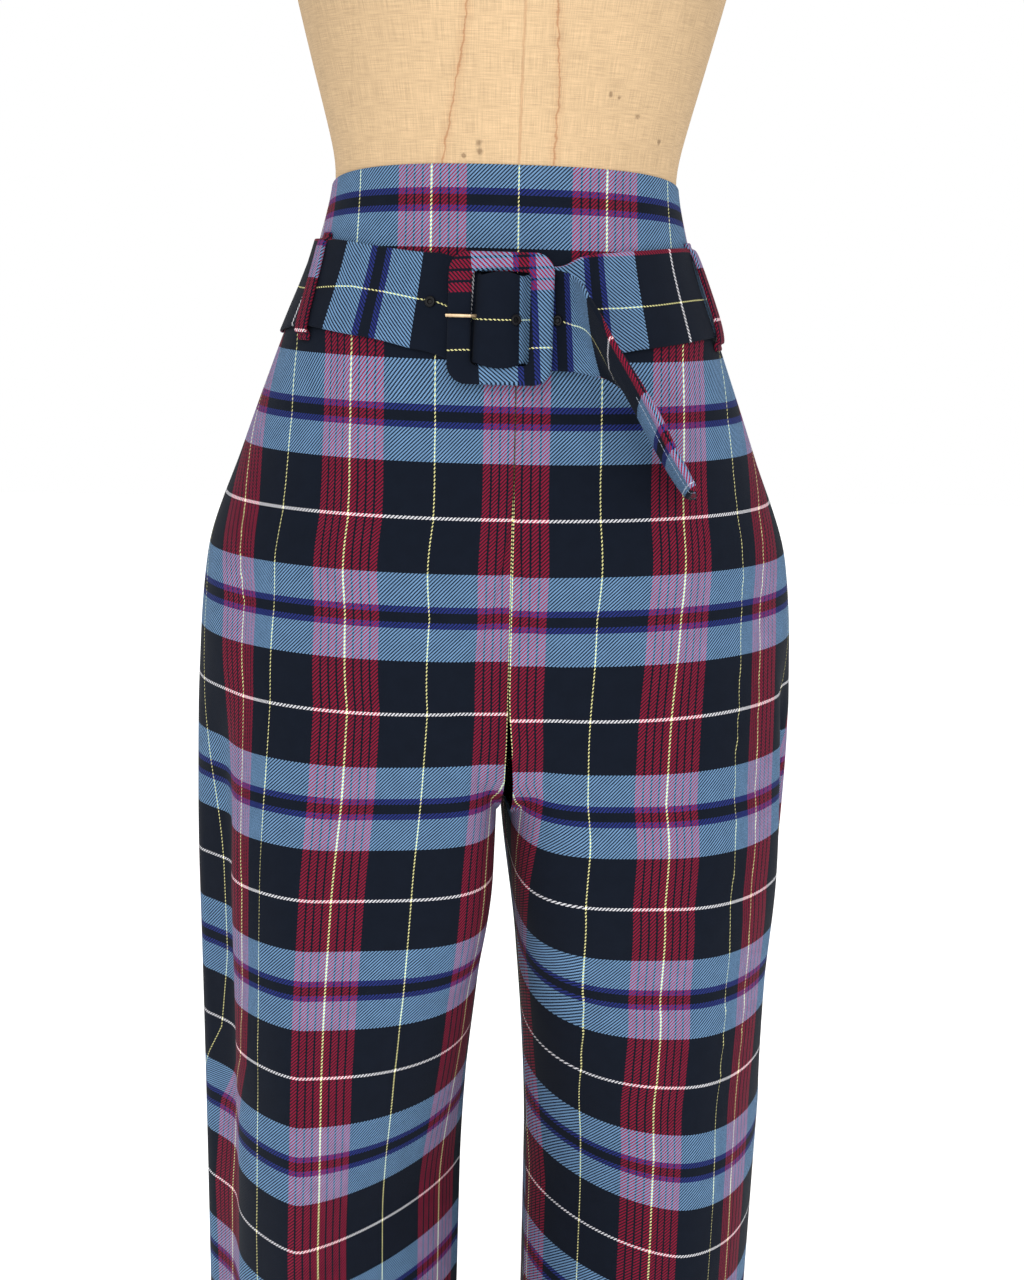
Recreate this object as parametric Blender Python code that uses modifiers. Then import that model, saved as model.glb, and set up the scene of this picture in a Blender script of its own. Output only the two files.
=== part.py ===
"""Tartan trousers with their own belt, worn on a limbless dress form.

Metres, +Z up, origin at the middle of the base's underside. The front faces -Y. Sides are the wearer's:
half -1 is the wearer's right, at -X, and half +1 the wearer's left.
"""
import math
from collections import namedtuple

import bmesh
import bpy
import numpy as np
from mathutils import Matrix, Vector

# Driving heights of the trousers
WAIST_TOP_Z = 1.152
BAND_SEAM_Z = 1.068
FRONT_SPLIT_Z = 0.797
BACK_SPLIT_Z = 0.860
CROTCH_Z = 0.725
HEM_Z = 0.090

# Cloth and seams
CLOTH = 0.0015
SEAM_GAP = 0.0003
SEAM_FLAT = 0.004
CENTRE_X = SEAM_GAP / 2

# Columns of points in each panel, those beside its inner edge, and the share of its hip width that the
# others cover
PANEL_COLUMNS = {"front": 19, "back": 15}
INNER_COLUMNS = 5
STEADY_SHARE = 0.92
CURVE_POINTS = 160

# A panel's centre seam lies a little behind its fullest point, and the seat is no squarer than this
CENTRE_SHARE = 0.985
SEAT_SQUARE = 2.2

# Folds fade out before they reach the side seam, in shares of the way from ridge to seam
FOLD_END = 0.97
FOLD_FADE = 0.12

# Waistband: its top edge is lower at the sides
BAND_SIDE_DROP = 0.012
BAND_SQUARE = 2.1
BAND_COLUMNS = 25

# Belt: a strip from the buckle's bar round the waist, back over the bar, and on to its free tail. It rises a
# little beside the buckle and again towards the sides, over these distances from the centre front.
BELT_WIDTH = 0.061
BELT_CLOTH = 0.0022
BELT_OFF = 0.0010
BELT_COLUMNS = 64
BELT_LEAVE_LIFT = 0.0072
BELT_LEAVE_FROM = 0.024
BELT_LEAVE_OVER = 0.025
BELT_SIDE_LIFT = 0.0068
BELT_SIDE_FROM = 0.05
BELT_SIDE_OVER = 0.10

# Buckle, prong and eyelets; U is the distance round from the centre front, to the wearer's left
BUCKLE_X = -0.0103
BUCKLE_Y = -0.1100
BUCKLE_Z = 1.0625
BUCKLE_TILT = math.radians(6.3)
BUCKLE_LEAN = math.radians(8.4)
BUCKLE_WIDTH = 0.063
BUCKLE_HEIGHT = 0.078
BUCKLE_SIDE_BAR = 0.0140
BUCKLE_END_BAR = 0.0115
BUCKLE_THICK = 0.0055
BUCKLE_CORNER = 0.012
BUCKLE_WINDOW_CORNER = 0.0035
BUCKLE_EDGE = 0.0015
BAR_RADIUS = 0.0015
PRONG_RADIUS = 0.0011
PRONG_Z = 1.0642
PRONG_START_BACK = 0.0012
PRONG_RISE_BACK = 0.0030
PRONG_RISE_ALONG = 0.0072
PRONG_STOP_ALONG = 0.0003
PRONG_PAST = 0.0010
PRONG_SLOT = 0.0018
SLOT_BEFORE = 0.001
SLOT_AFTER = 0.002
EYELET_RADIUS = 0.0021
EYELET_WIRE = 0.0007

# Belt loops
LOOP_WIDTH = 0.011
LOOP_CLOTH = 0.0013
LOOP_U = 0.155

# Dress form and stand
FORM_AROUND = 28
FORM_STEP = 0.045
POLE_X = -0.108
POLE_RADIUS = 0.014
TORSO_BOTTOM_Z = 0.800
BASE_RADIUS = 0.200
BASE_THICK = 0.016

Section = namedtuple("Section", "z outer ridge inner front back side_y inner_y n_in n_out n_back")

# One row for each height of a half: x of the side seam, of the front ridge and of the inner side, y of the
# front, back, side seam and inseam, and how square the outline is inside and outside the ridge and behind.
RIGHT_SECTIONS = [
    Section(1.154, .1117, .000, .000, -.0915, .0855, .000, .000, 2.1, 2.10, 2.1),
    Section(1.106, .1210, .000, .000, -.099, .092, .000, .000, 2.1, 2.10, 2.1),
    Section(1.045, .1450, .000, .000, -.108, .101, .000, .000, 2.1, 2.10, 2.1),
    Section(.972, .1720, .000, .000, -.115, .112, .000, .000, 2.1, 2.10, 2.1),
    Section(.900, .1965, .010, .000, -.118, .121, .000, .000, 2.3, 2.10, 2.1),
    Section(.840, .2025, .040, .000, -.119, .123, .000, .000, 3.0, 2.05, 2.1),
    Section(.780, .2050, .085, .000, -.118, .122, -.005, .000, 5.0, 1.90, 2.1),
    Section(.690, .2060, .120, .001, -.116, .115, -.010, .000, 5.0, 1.70, 2.2),
    Section(.600, .2055, .130, .008, -.116, .108, -.008, .000, 3.0, 1.50, 2.2),
    Section(.426, .2050, .134, .017, -.116, .102, -.007, .000, 1.35, 1.35, 2.1),
    Section(.090, .2050, .134, .018, -.116, .100, -.005, .000, 1.35, 1.35, 2.0),
]
LEFT_SECTIONS = [
    Section(1.154, .1117, .000, .000, -.0915, .0855, .000, .000, 2.1, 2.10, 2.1),
    Section(1.106, .1210, .000, .000, -.099, .092, .000, .000, 2.1, 2.10, 2.1),
    Section(1.045, .1450, .000, .000, -.108, .101, .000, .000, 2.1, 2.10, 2.1),
    Section(.972, .1735, .000, .000, -.115, .112, .000, .000, 2.1, 2.10, 2.1),
    Section(.900, .2000, .010, .000, -.119, .121, .000, .000, 2.3, 2.10, 2.1),
    Section(.840, .2070, .040, .000, -.122, .123, .000, .000, 3.0, 2.05, 2.1),
    Section(.780, .2095, .080, .004, -.126, .122, -.005, .000, 4.0, 2.00, 2.1),
    Section(.690, .2080, .112, .012, -.128, .115, -.010, .000, 4.0, 2.00, 2.2),
    Section(.600, .2055, .122, .023, -.122, .108, -.008, .000, 2.6, 1.90, 2.2),
    Section(.426, .2040, .132, .034, -.116, .102, -.007, .000, 1.55, 1.90, 2.1),
    Section(.090, .2040, .132, .036, -.114, .100, -.005, .000, 1.55, 1.80, 2.0),
]
SECTIONS = {-1: RIGHT_SECTIONS, 1: LEFT_SECTIONS}

# One row for each fold: where it runs between ridge (0) and side seam (1), on the front or the back, the
# heights between which it comes in and goes out, how far it stands out or sinks in, and its width.
Fold = namedtuple("Fold", "half panel place z_top z_full z_low z_end depth width")
FOLDS = [
    Fold(-1, "front", .70, .860, .700, .700, .050, -.015, .024),
    Fold(1, "front", .80, .860, .720, .620, .500, -.020, .016),
    Fold(-1, "back", .45, .700, .500, .200, .000, -.012, .030),
    Fold(1, "back", .50, .720, .520, .200, .000, -.013, .030),
]

# One row for each bend of the belt's inner face beside and over the buckle's bar: the distance round, how far
# it stands off the trousers, and the belt's width, which the buckle's window squeezes.
Bend = namedtuple("Bend", "u off width")
FIXED_END_BENDS = [Bend(-.0095, .0032, .052), Bend(-.0030, .0020, .053), Bend(.0060, BELT_OFF, .056)]
FREE_END_BENDS = [
    Bend(-.0265, BELT_OFF, .0560), Bend(-.0236, .0042, .0515), Bend(-.0205, .0074, .0505),
    Bend(-.0160, .0092, .0505), Bend(-.0103, .0096, .0505), Bend(-.0045, .0092, .0505),
    Bend(.0010, .0072, .0505), Bend(.0040, .0048, .0510), Bend(.0066, .0034, .0530),
    Bend(.0140, .0036, .0570), Bend(.0226, .0048, .0590),
]

# One row for each station of the free tail: the places of its upper and its lower edge.
Tail = namedtuple("Tail", "top_x top_y top_z low_x low_y low_z")
TAIL = [
    Tail(.0300, -.1165, 1.0890, .0350, -.1155, 1.0325),
    Tail(.0340, -.1320, 1.0850, .0440, -.1155, 1.0305),
    Tail(.0376, -.1470, 1.0770, .0510, -.1150, 1.0290),
    Tail(.0444, -.1564, 1.0675, .0576, -.1140, 1.0265),
    Tail(.0521, -.1620, 1.0546, .0654, -.1120, 1.0215),
    Tail(.0608, -.1617, 1.0424, .0736, -.1095, 1.0145),
    Tail(.0711, -.1599, 1.0277, .0821, -.1070, 1.0016),
    Tail(.0807, -.1565, 1.0132, .0915, -.1040, .9855),
    Tail(.0904, -.1535, .9957, .1020, -.1010, .9691),
    Tail(.1000, -.1515, .9797, .1110, -.0985, .9540),
    Tail(.1060, -.1510, .9690, .1160, -.0980, .9450),
]

# Eyelets along the belt's middle, in columns from the first bend of its free end
EYELETS = [("eyelet_1", -1.7), ("eyelet_2", 5.6), ("eyelet_3", 10.4)]

# One row for each height of a belt loop: the height from the belt's middle, and how far its outer face stands
# off the trousers.
LoopBend = namedtuple("LoopBend", "rise off")
LOOP_BENDS = [
    LoopBend(.042, .0018), LoopBend(.036, .0018), LoopBend(.0325, .0050), LoopBend(.016, .0054),
    LoopBend(-.016, .0054), LoopBend(-.0325, .0050), LoopBend(-.036, .0018), LoopBend(-.042, .0018),
]

Ring = namedtuple("Ring", "z half_width front back n")

# Dress form: waist under the waistband, hips inside the trousers, bust, shoulders and neck
FORM_RINGS = [
    Ring(.800, .120, -.070, .075, 2.4),
    Ring(.830, .152, -.088, .096, 2.4),
    Ring(.880, .168, -.096, .106, 2.3),
    Ring(.960, .157, -.099, .102, 2.2),
    Ring(1.040, .136, -.098, .092, 2.1),
    Ring(1.100, .1180, -.0940, .0870, 2.1),
    Ring(1.150, .1094, -.0893, .0833, 2.1),
    Ring(1.172, .1140, -.0925, .086, 2.1),
    Ring(1.206, .1230, -.098, .088, 2.1),
    Ring(1.258, .1360, -.108, .092, 2.2),
    Ring(1.330, .1520, -.124, .098, 2.3),
    Ring(1.390, .1590, -.116, .104, 2.5),
    Ring(1.445, .1620, -.094, .102, 2.6),
    Ring(1.485, .1520, -.074, .090, 2.4),
    Ring(1.510, .1080, -.062, .074, 2.1),
    Ring(1.528, .0690, -.056, .060, 2.0),
    Ring(1.548, .0570, -.052, .052, 2.0),
    Ring(1.590, .0540, -.050, .050, 2.0),
]


def clear_scene():
    for old in list(bpy.data.objects):
        bpy.data.objects.remove(old, do_unlink=True)


def collection(name):
    made = bpy.data.collections.new(name)
    bpy.context.scene.collection.children.link(made)
    return made


def material(name, colour, roughness, metallic=0.0):
    made = bpy.data.materials.new(name)
    made.use_nodes = True
    shader = made.node_tree.nodes["Principled BSDF"]
    shader.inputs["Base Color"].default_value = (*colour, 1.0)
    shader.inputs["Roughness"].default_value = roughness
    shader.inputs["Metallic"].default_value = metallic
    return made


def smooth(t):
    t = np.clip(t, 0, 1)
    return t * t * (3 - 2 * t)


def read_table(rows, z):
    """The row of sizes at a height, on a smooth curve through the table's rows that never overshoots them."""
    values = np.array([list(r) for r in sorted(rows, key=lambda r: r.z)])
    zs = values[:, 0]
    i = int(np.clip(np.searchsorted(zs, z) - 1, 0, len(zs) - 2))
    step = zs[i + 1] - zs[i]
    t = (z - zs[i]) / step

    def slope(j):
        if j in (0, len(zs) - 1):
            return np.zeros(values.shape[1])
        before = (values[j] - values[j - 1]) / (zs[j] - zs[j - 1])
        after = (values[j + 1] - values[j]) / (zs[j + 1] - zs[j])
        total = np.where(before * after > 0, before + after, 1.0)
        return np.where(before * after > 0, 2 * before * after / total, 0.0)

    mixed = ((2 * t**3 - 3 * t**2 + 1) * values[i] + (t**3 - 2 * t**2 + t) * step * slope(i)
             + (3 * t**2 - 2 * t**3) * values[i + 1] + (t**3 - t**2) * step * slope(i + 1))
    return type(rows[0])(*mixed)


def quarter(top, side, n, count=CURVE_POINTS):
    """A quarter of a superellipse in plan, from its front or back point to its side point."""
    angle = np.linspace(0, math.pi / 2, count)
    x = top[0] + (side[0] - top[0]) * np.sin(angle) ** (2 / n)
    y = side[1] + (top[1] - side[1]) * np.cos(angle) ** (2 / n)
    return np.column_stack([x, y])


def arc_lengths(points):
    return np.concatenate([[0], np.cumsum(np.linalg.norm(np.diff(points, axis=0), axis=1))])


def spaced(points, count, start=0.0, end=0.0):
    """Points evenly spaced along a line, between a distance from its start and a distance from its end."""
    arc = arc_lengths(points)
    at = np.linspace(start, arc[-1] - end, count)
    return np.column_stack([np.interp(at, arc, points[:, k]) for k in range(points.shape[1])])


def outward(points, centre):
    """Unit normals of a line in plan, pointing away from a centre."""
    along = np.gradient(points, axis=0)
    normal = np.column_stack([along[:, 1], -along[:, 0]])
    normal /= np.linalg.norm(normal, axis=1)[:, None]
    if np.sum(normal * (points - centre)) < 0:
        normal = -normal
    return normal


def seam_depth(z, split_z, depth):
    """How far forward or back the centre seam lies: full depth above the split, then a J curve below."""
    t = np.clip((z - CROTCH_Z) / (split_z - CROTCH_Z), 0, 1)
    return depth * math.sqrt(max(1 - (1 - t) ** 2, 0))


def panel_line(half, panel, z):
    """Outer line of a panel at one height, from its centre seam or inseam to its side seam, x outward."""
    s = read_table(SECTIONS[half], z)
    at_front = panel == "front"
    depth = s.front if at_front else s.back
    split_z = FRONT_SPLIT_Z if at_front else BACK_SPLIT_Z
    n_in = s.n_in if at_front or z >= BACK_SPLIT_Z else max(s.n_in, SEAT_SQUARE)
    n_out = s.n_out if at_front else s.n_back
    inner_x = max(s.inner, CENTRE_X)
    ridge = max(s.ridge if at_front else s.ridge / 2, inner_x + SEAM_GAP)
    inner = quarter((ridge, depth), (inner_x, s.inner_y), n_in)[::-1]
    outer = quarter((ridge, depth), (s.outer, s.side_y), n_out)
    if z >= CROTCH_Z:
        centre = seam_depth(z, split_z, depth * CENTRE_SHARE)
        keep = inner[:, 1] < centre if at_front else inner[:, 1] > centre
        inner = np.vstack([[[inner_x, centre]], inner[keep]])
    outer = spaced(outer, CURVE_POINTS)
    place = np.linspace(0, 1, len(outer))
    length = arc_lengths(outer)[-1]
    normal = outward(outer, np.array([ridge, s.side_y]))
    for fold in FOLDS:
        if (fold.half, fold.panel) != (half, panel):
            continue
        coming = smooth((fold.z_top - z) / (fold.z_top - fold.z_full))
        going = smooth((z - fold.z_end) / (fold.z_low - fold.z_end))
        bump = np.exp(-((place - fold.place) * length / fold.width) ** 2)
        ends = smooth((FOLD_END - place) / FOLD_FADE)
        outer = outer + normal * (fold.depth * coming * going * bump * ends)[:, None]
    return np.vstack([inner, outer[1:]])


def pressed_seam(line):
    """The line with its last few millimetres pressed straight along Y, so that two panels meet squarely."""
    end = line[-1]
    toward = math.copysign(1.0, line[-12, 1] - end[1])
    keep = (line[:, 1] - end[1]) * toward > SEAM_FLAT * 1.5
    last = np.flatnonzero(keep)[-1]
    flat = [[end[0], end[1] + toward * SEAM_FLAT], [end[0], end[1] + toward * SEAM_GAP / 2]]
    return line[:last + 1], np.array(flat)


def panel_row(half, panel, z, cols):
    """One row of a panel, with a pressed seam at the side, and at the inseam of a leg.

    The columns keep their distance from the side seam down the whole leg, and the few nearest the inner edge
    take up what the panel gains below the crotch.
    """
    line, side = pressed_seam(panel_line(half, panel, z))
    ends = []
    if z < CROTCH_Z:
        line, inseam = pressed_seam(line[::-1])
        line = np.vstack([inseam[:1], line[::-1]])
        ends = [inseam[1:]]
    line = np.vstack([line, side[:1]])
    length = arc_lengths(line)[-1]
    at_split = arc_lengths(panel_line(half, panel, FRONT_SPLIT_Z))[-1] - SEAM_FLAT
    steady = min(length, at_split) * STEADY_SHARE
    outer = spaced(line, cols - INNER_COLUMNS - 1, length - steady)
    inner = spaced(line, INNER_COLUMNS + 1 - len(ends), 0, steady)[:-1]
    return np.vstack(ends + [inner, outer, side[1:]])


def panel_heights():
    """Row heights of the panels: even to the back split, close along the crotch curve, even to the hem."""
    hips = np.linspace(BAND_SEAM_Z - SEAM_GAP, BACK_SPLIT_Z, 7)
    seat = np.linspace(BACK_SPLIT_Z, FRONT_SPLIT_Z, 4)[1:]
    reach = np.array([.94, .80, .58, .30])
    crotch = CROTCH_Z + (FRONT_SPLIT_Z - CROTCH_Z) * (1 - np.sqrt(1 - reach**2))
    legs = np.linspace(CROTCH_Z - SEAM_FLAT / 2, HEM_Z, 13)
    return np.concatenate([hips, seat, crotch, legs])


def grid_faces(rows, cols):
    return [(r * cols + c, r * cols + c + 1, (r + 1) * cols + c + 1, (r + 1) * cols + c)
            for r in range(rows - 1) for c in range(cols - 1)]


def cloth_wall(name, grid, thick, mat, coll, flip=False):
    """A cloth wall: an open surface through rows of points, thickened behind its outer face."""
    rows, cols = len(grid), len(grid[0])
    points = [tuple(p) for row in grid for p in row]
    faces = grid_faces(rows, cols)
    if flip:
        faces = [face[::-1] for face in faces]
    mesh = bpy.data.meshes.new(name)
    mesh.from_pydata(points, [], faces)
    mesh.materials.append(mat)
    mesh.shade_smooth()
    made = bpy.data.objects.new(name, mesh)
    coll.objects.link(made)
    wall = made.modifiers.new("thickness", "SOLIDIFY")
    wall.thickness = thick
    wall.offset = -1
    wall.use_even_offset = True
    wall.use_quality_normals = True
    return made


def leg_panel(half, panel, mat, coll):
    cols = PANEL_COLUMNS[panel]
    grid = [[(half * x, y, z) for x, y in panel_row(half, panel, z, cols)] for z in panel_heights()]
    side = "right" if half < 0 else "left"
    return cloth_wall(f"{panel}_{side}", grid, CLOTH, mat, coll, (half > 0) == (panel == "front"))


def waist_line(panel, z, out=0.0):
    """Line of the waist's front or back, from the right side seam to the left, moved out from the cloth."""
    halves = []
    for half in (-1, 1):
        s = read_table(SECTIONS[half], z)
        depth = s.front if panel == "front" else s.back
        line = quarter((0, depth), (s.outer, s.side_y), BAND_SQUARE)
        line[:, 0] *= half
        halves.append(line)
    line = np.vstack([halves[0][::-1], halves[1][1:]])
    return line + outward(line, np.zeros(2)) * out


def waistband(panel, mat, coll):
    grid = []
    for down in np.linspace(0, 1, 4):
        row = []
        for at in np.linspace(0, 1, BAND_COLUMNS):
            side = abs(2 * at - 1) ** 3
            z = (1 - down) * (WAIST_TOP_Z - BAND_SIDE_DROP * side) + down * BAND_SEAM_Z
            line = waist_line(panel, z)
            x, y = spaced(line, 2, SEAM_GAP / 2 + at * (arc_lengths(line)[-1] - SEAM_GAP), 0)[0]
            row.append((x, y, z))
        grid.append(row)
    return cloth_wall(f"waistband_{panel}", grid, CLOTH, mat, coll, panel == "front")


def round_waist(z, out):
    """The whole way round the waist from the centre back, by the right side, the front and the left side."""
    front = waist_line("front", z, out)
    back = waist_line("back", z, out)
    middle = len(back) // 2
    return np.vstack([back[:middle + 1][::-1], front[1:], back[::-1][1:middle + 1]])


def waist_length():
    return arc_lengths(round_waist(BUCKLE_Z, BELT_OFF))[-1]


def on_waist(u, z, out):
    """A point on the waist at a distance round from the centre front, positive to the wearer's left."""
    line = round_waist(z, out)
    arc = arc_lengths(line)
    at = (0.5 + u / waist_length()) % 1.0 * arc[-1]
    return (np.interp(at, arc, line[:, 0]), np.interp(at, arc, line[:, 1]), z)


def belt_middle(u):
    """Height of the belt's middle: lowest at the buckle, and highest at the sides and back."""
    away = abs((u / waist_length() + 0.5) % 1.0 - 0.5) * waist_length()
    beside = BELT_LEAVE_LIFT * float(smooth((away - BELT_LEAVE_FROM) / BELT_LEAVE_OVER))
    return BUCKLE_Z + beside + BELT_SIDE_LIFT * float(smooth((away - BELT_SIDE_FROM) / BELT_SIDE_OVER))


def belt_column(u, off, width, rows):
    heights = belt_middle(u) + np.linspace(width / 2, -width / 2, rows)
    return [on_waist(u, z, off + BELT_CLOTH) for z in heights]


def belt_grid(rows=5):
    """Outer face of the belt in columns: fixed end, round the waist, over the bar, and the free tail."""
    columns = [belt_column(b.u, b.off, b.width, rows) for b in FIXED_END_BENDS]
    last = waist_length() + FREE_END_BENDS[0].u
    for u in np.linspace(FIXED_END_BENDS[-1].u, last, BELT_COLUMNS)[1:-1]:
        columns.append(belt_column(u, BELT_OFF, BELT_WIDTH, rows))
    columns += [belt_column(b.u, b.off, b.width, rows) for b in FREE_END_BENDS]
    for t in TAIL:
        top, low = np.array([t.top_x, t.top_y, t.top_z]), np.array([t.low_x, t.low_y, t.low_z])
        columns.append([tuple(top + (low - top) * k) for k in np.linspace(0, 1, rows)])
    return [list(row) for row in zip(*columns)]


def on_grid(grid, row, col, out):
    """A point between a grid's points, moved out from its face, and the face's outward normal there."""
    r, c = min(int(row), len(grid) - 2), min(int(col), len(grid[0]) - 2)
    p = {(i, j): np.array(grid[r + i][c + j]) for i in (0, 1) for j in (0, 1)}
    fr, fc = row - r, col - c
    point = (p[0, 0] * (1 - fr) + p[1, 0] * fr) * (1 - fc) + (p[0, 1] * (1 - fr) + p[1, 1] * fr) * fc
    normal = np.cross(p[1, 0] - p[0, 0], p[0, 1] - p[0, 0])
    normal /= np.linalg.norm(normal)
    return point + normal * out, normal


def belt_loop(name, u, mat, coll):
    middle = belt_middle(u)
    grid = [[on_waist(u + k * LOOP_WIDTH, middle + b.rise, b.off) for k in (-.5, 0, .5)] for b in LOOP_BENDS]
    return cloth_wall(name, grid, LOOP_CLOTH, mat, coll, True)


def form_torso(mat, coll):
    """Lofted torso: rings of a superellipse, closed at the bottom and at the neck's top."""
    around = FORM_AROUND
    heights = [r.z for r in FORM_RINGS]
    fine = [heights[0]]
    for low, high in zip(heights, heights[1:]):
        fine += list(np.linspace(low, high, 1 + math.ceil((high - low) / FORM_STEP))[1:])
    bm = bmesh.new()
    rings = []
    for z in fine:
        r = read_table(FORM_RINGS, z)
        ring = []
        for i in range(around):
            angle = 2 * math.pi * i / around
            across, along = math.cos(angle), math.sin(angle)
            depth = r.back if along > 0 else -r.front
            x = r.half_width * math.copysign(abs(across) ** (2 / r.n), across)
            y = depth * math.copysign(abs(along) ** (2 / r.n), along)
            ring.append(bm.verts.new((x, y, z)))
        rings.append(ring)
    for low, high in zip(rings, rings[1:]):
        for i in range(around):
            j = (i + 1) % around
            bm.faces.new((low[i], low[j], high[j], high[i]))
    bm.faces.new(rings[0][::-1])
    bm.faces.new(rings[-1])
    mesh = bpy.data.meshes.new("form_torso")
    bm.to_mesh(mesh)
    bm.free()
    mesh.materials.append(mat)
    mesh.shade_smooth()
    made = bpy.data.objects.new("form_torso", mesh)
    coll.objects.link(made)
    return made


def cylinder(name, radius, low, high, x, y, sides, mat, coll):
    bm = bmesh.new()
    bmesh.ops.create_cone(bm, cap_ends=True, segments=sides, radius1=radius, radius2=radius, depth=high - low)
    mesh = bpy.data.meshes.new(name)
    bm.to_mesh(mesh)
    bm.free()
    mesh.materials.append(mat)
    mesh.shade_smooth()
    mesh.set_sharp_from_angle(angle=math.radians(40))
    made = bpy.data.objects.new(name, mesh)
    made.location = (x, y, (low + high) / 2)
    coll.objects.link(made)
    return made


def rounded_outline(width, height, corner, steps=4):
    """Points of a rounded oblong, anticlockwise."""
    points = []
    for quadrant in range(4):
        cx = (width / 2 - corner) * (1 if quadrant in (0, 3) else -1)
        cy = (height / 2 - corner) * (1 if quadrant in (0, 1) else -1)
        for k in range(steps + 1):
            angle = math.pi / 2 * (quadrant + k / steps)
            points.append((cx + corner * math.cos(angle), cy + corner * math.sin(angle)))
    return points


def buckle_matrix():
    """Frame lying in the buckle's plane: its X along the belt, its Y up, its Z out to the front."""
    turn = Matrix.Rotation(-BUCKLE_TILT, 4, "Z") @ Matrix.Rotation(math.radians(90) - BUCKLE_LEAN, 4, "X")
    return Matrix.Translation((BUCKLE_X, BUCKLE_Y, BUCKLE_Z)) @ turn


def buckle_frame(mat, coll):
    curve = bpy.data.curves.new("buckle_frame", "CURVE")
    curve.dimensions = "2D"
    curve.fill_mode = "BOTH"
    curve.extrude = BUCKLE_THICK / 2 - BUCKLE_EDGE
    curve.bevel_depth = BUCKLE_EDGE
    curve.bevel_resolution = 1
    outer = rounded_outline(BUCKLE_WIDTH - 2 * BUCKLE_EDGE, BUCKLE_HEIGHT - 2 * BUCKLE_EDGE, BUCKLE_CORNER)
    window = rounded_outline(BUCKLE_WIDTH - 2 * BUCKLE_SIDE_BAR + 2 * BUCKLE_EDGE,
                             BUCKLE_HEIGHT - 2 * BUCKLE_END_BAR + 2 * BUCKLE_EDGE, BUCKLE_WINDOW_CORNER)
    for outline in (outer, window):
        spline = curve.splines.new("POLY")
        spline.points.add(len(outline) - 1)
        for point, (x, y) in zip(spline.points, outline):
            point.co = (x, y, 0, 1)
        spline.use_cyclic_u = True
    curve.materials.append(mat)
    made = bpy.data.objects.new("buckle_frame", curve)
    made.matrix_world = buckle_matrix() @ Matrix.Translation((0, 0, BUCKLE_THICK / 2))
    weld = made.modifiers.new("caps", "WELD")
    weld.merge_threshold = 0.00001
    coll.objects.link(made)
    return made


def buckle_bar(mat, coll):
    length = BUCKLE_HEIGHT - 2 * BUCKLE_END_BAR - 2 * SEAM_GAP
    made = cylinder("buckle_bar", BAR_RADIUS, -length / 2, length / 2, 0, 0, 12, mat, coll)
    upright = Matrix.Translation((0, 0, BUCKLE_THICK / 2)) @ Matrix.Rotation(math.radians(-90), 4, "X")
    made.matrix_world = buckle_matrix() @ upright
    return made


def wire(name, points, radius, mat, coll):
    curve = bpy.data.curves.new(name, "CURVE")
    curve.dimensions = "3D"
    curve.bevel_depth = radius
    curve.bevel_resolution = 2
    curve.use_fill_caps = True
    spline = curve.splines.new("POLY")
    spline.points.add(len(points) - 1)
    for point, place in zip(spline.points, points):
        point.co = (*place, 1)
    curve.materials.append(mat)
    made = bpy.data.objects.new(name, curve)
    weld = made.modifiers.new("caps", "WELD")
    weld.merge_threshold = 0.00001
    coll.objects.link(made)
    return made


def prong_points():
    """From the bar, under the belt, up through its hole and over the buckle's right bar."""
    bar = buckle_matrix() @ Vector((0, 0, BUCKLE_THICK / 2))
    start = bar.x - BAR_RADIUS - SEAM_GAP
    over = PRONG_RADIUS + 2 * SEAM_GAP
    near = buckle_matrix() @ Vector((-BUCKLE_WIDTH / 2 + BUCKLE_SIDE_BAR, 0, BUCKLE_THICK + over))
    tip = buckle_matrix() @ Vector((-BUCKLE_WIDTH / 2 - PRONG_PAST, 0, BUCKLE_THICK + over))
    return [(start, bar.y + PRONG_START_BACK, PRONG_Z),
            (near.x + PRONG_RISE_ALONG, bar.y + PRONG_RISE_BACK, PRONG_Z),
            (near.x - PRONG_STOP_ALONG, near.y, PRONG_Z), (tip.x, tip.y, PRONG_Z)]


def prong_slot(cutters):
    """Cutter for the belt's hole, along the stretch of the prong that comes up through it."""
    points = prong_points()
    low, high = Vector(points[1]), Vector(points[2])
    along = (high - low).normalized()
    low, high = low - along * SLOT_BEFORE, high + along * SLOT_AFTER
    bm = bmesh.new()
    bmesh.ops.create_cone(bm, cap_ends=True, segments=12, radius1=PRONG_SLOT, radius2=PRONG_SLOT,
                          depth=(high - low).length)
    mesh = bpy.data.meshes.new("prong_slot")
    bm.to_mesh(mesh)
    bm.free()
    made = bpy.data.objects.new("prong_slot", mesh)
    turn = along.to_track_quat("Z", "Y").to_matrix().to_4x4()
    made.matrix_world = Matrix.Translation((low + high) / 2) @ turn
    made.hide_render = True
    made.display_type = "WIRE"
    cutters.objects.link(made)
    return made


def eyelet(name, grid, row, col, mat, coll):
    place, normal = on_grid(grid, row, col, EYELET_WIRE + SEAM_GAP)
    bpy.ops.mesh.primitive_torus_add(major_radius=EYELET_RADIUS, minor_radius=EYELET_WIRE,
                                     major_segments=12, minor_segments=4)
    made = bpy.context.object
    made.name = name
    made.data.name = name
    made.data.materials.append(mat)
    made.data.shade_smooth()
    turn = Vector(normal).to_track_quat("Z", "Y").to_matrix().to_4x4()
    made.matrix_world = Matrix.Translation(place) @ turn
    for owner in list(made.users_collection):
        owner.objects.unlink(made)
    coll.objects.link(made)
    return made


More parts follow.
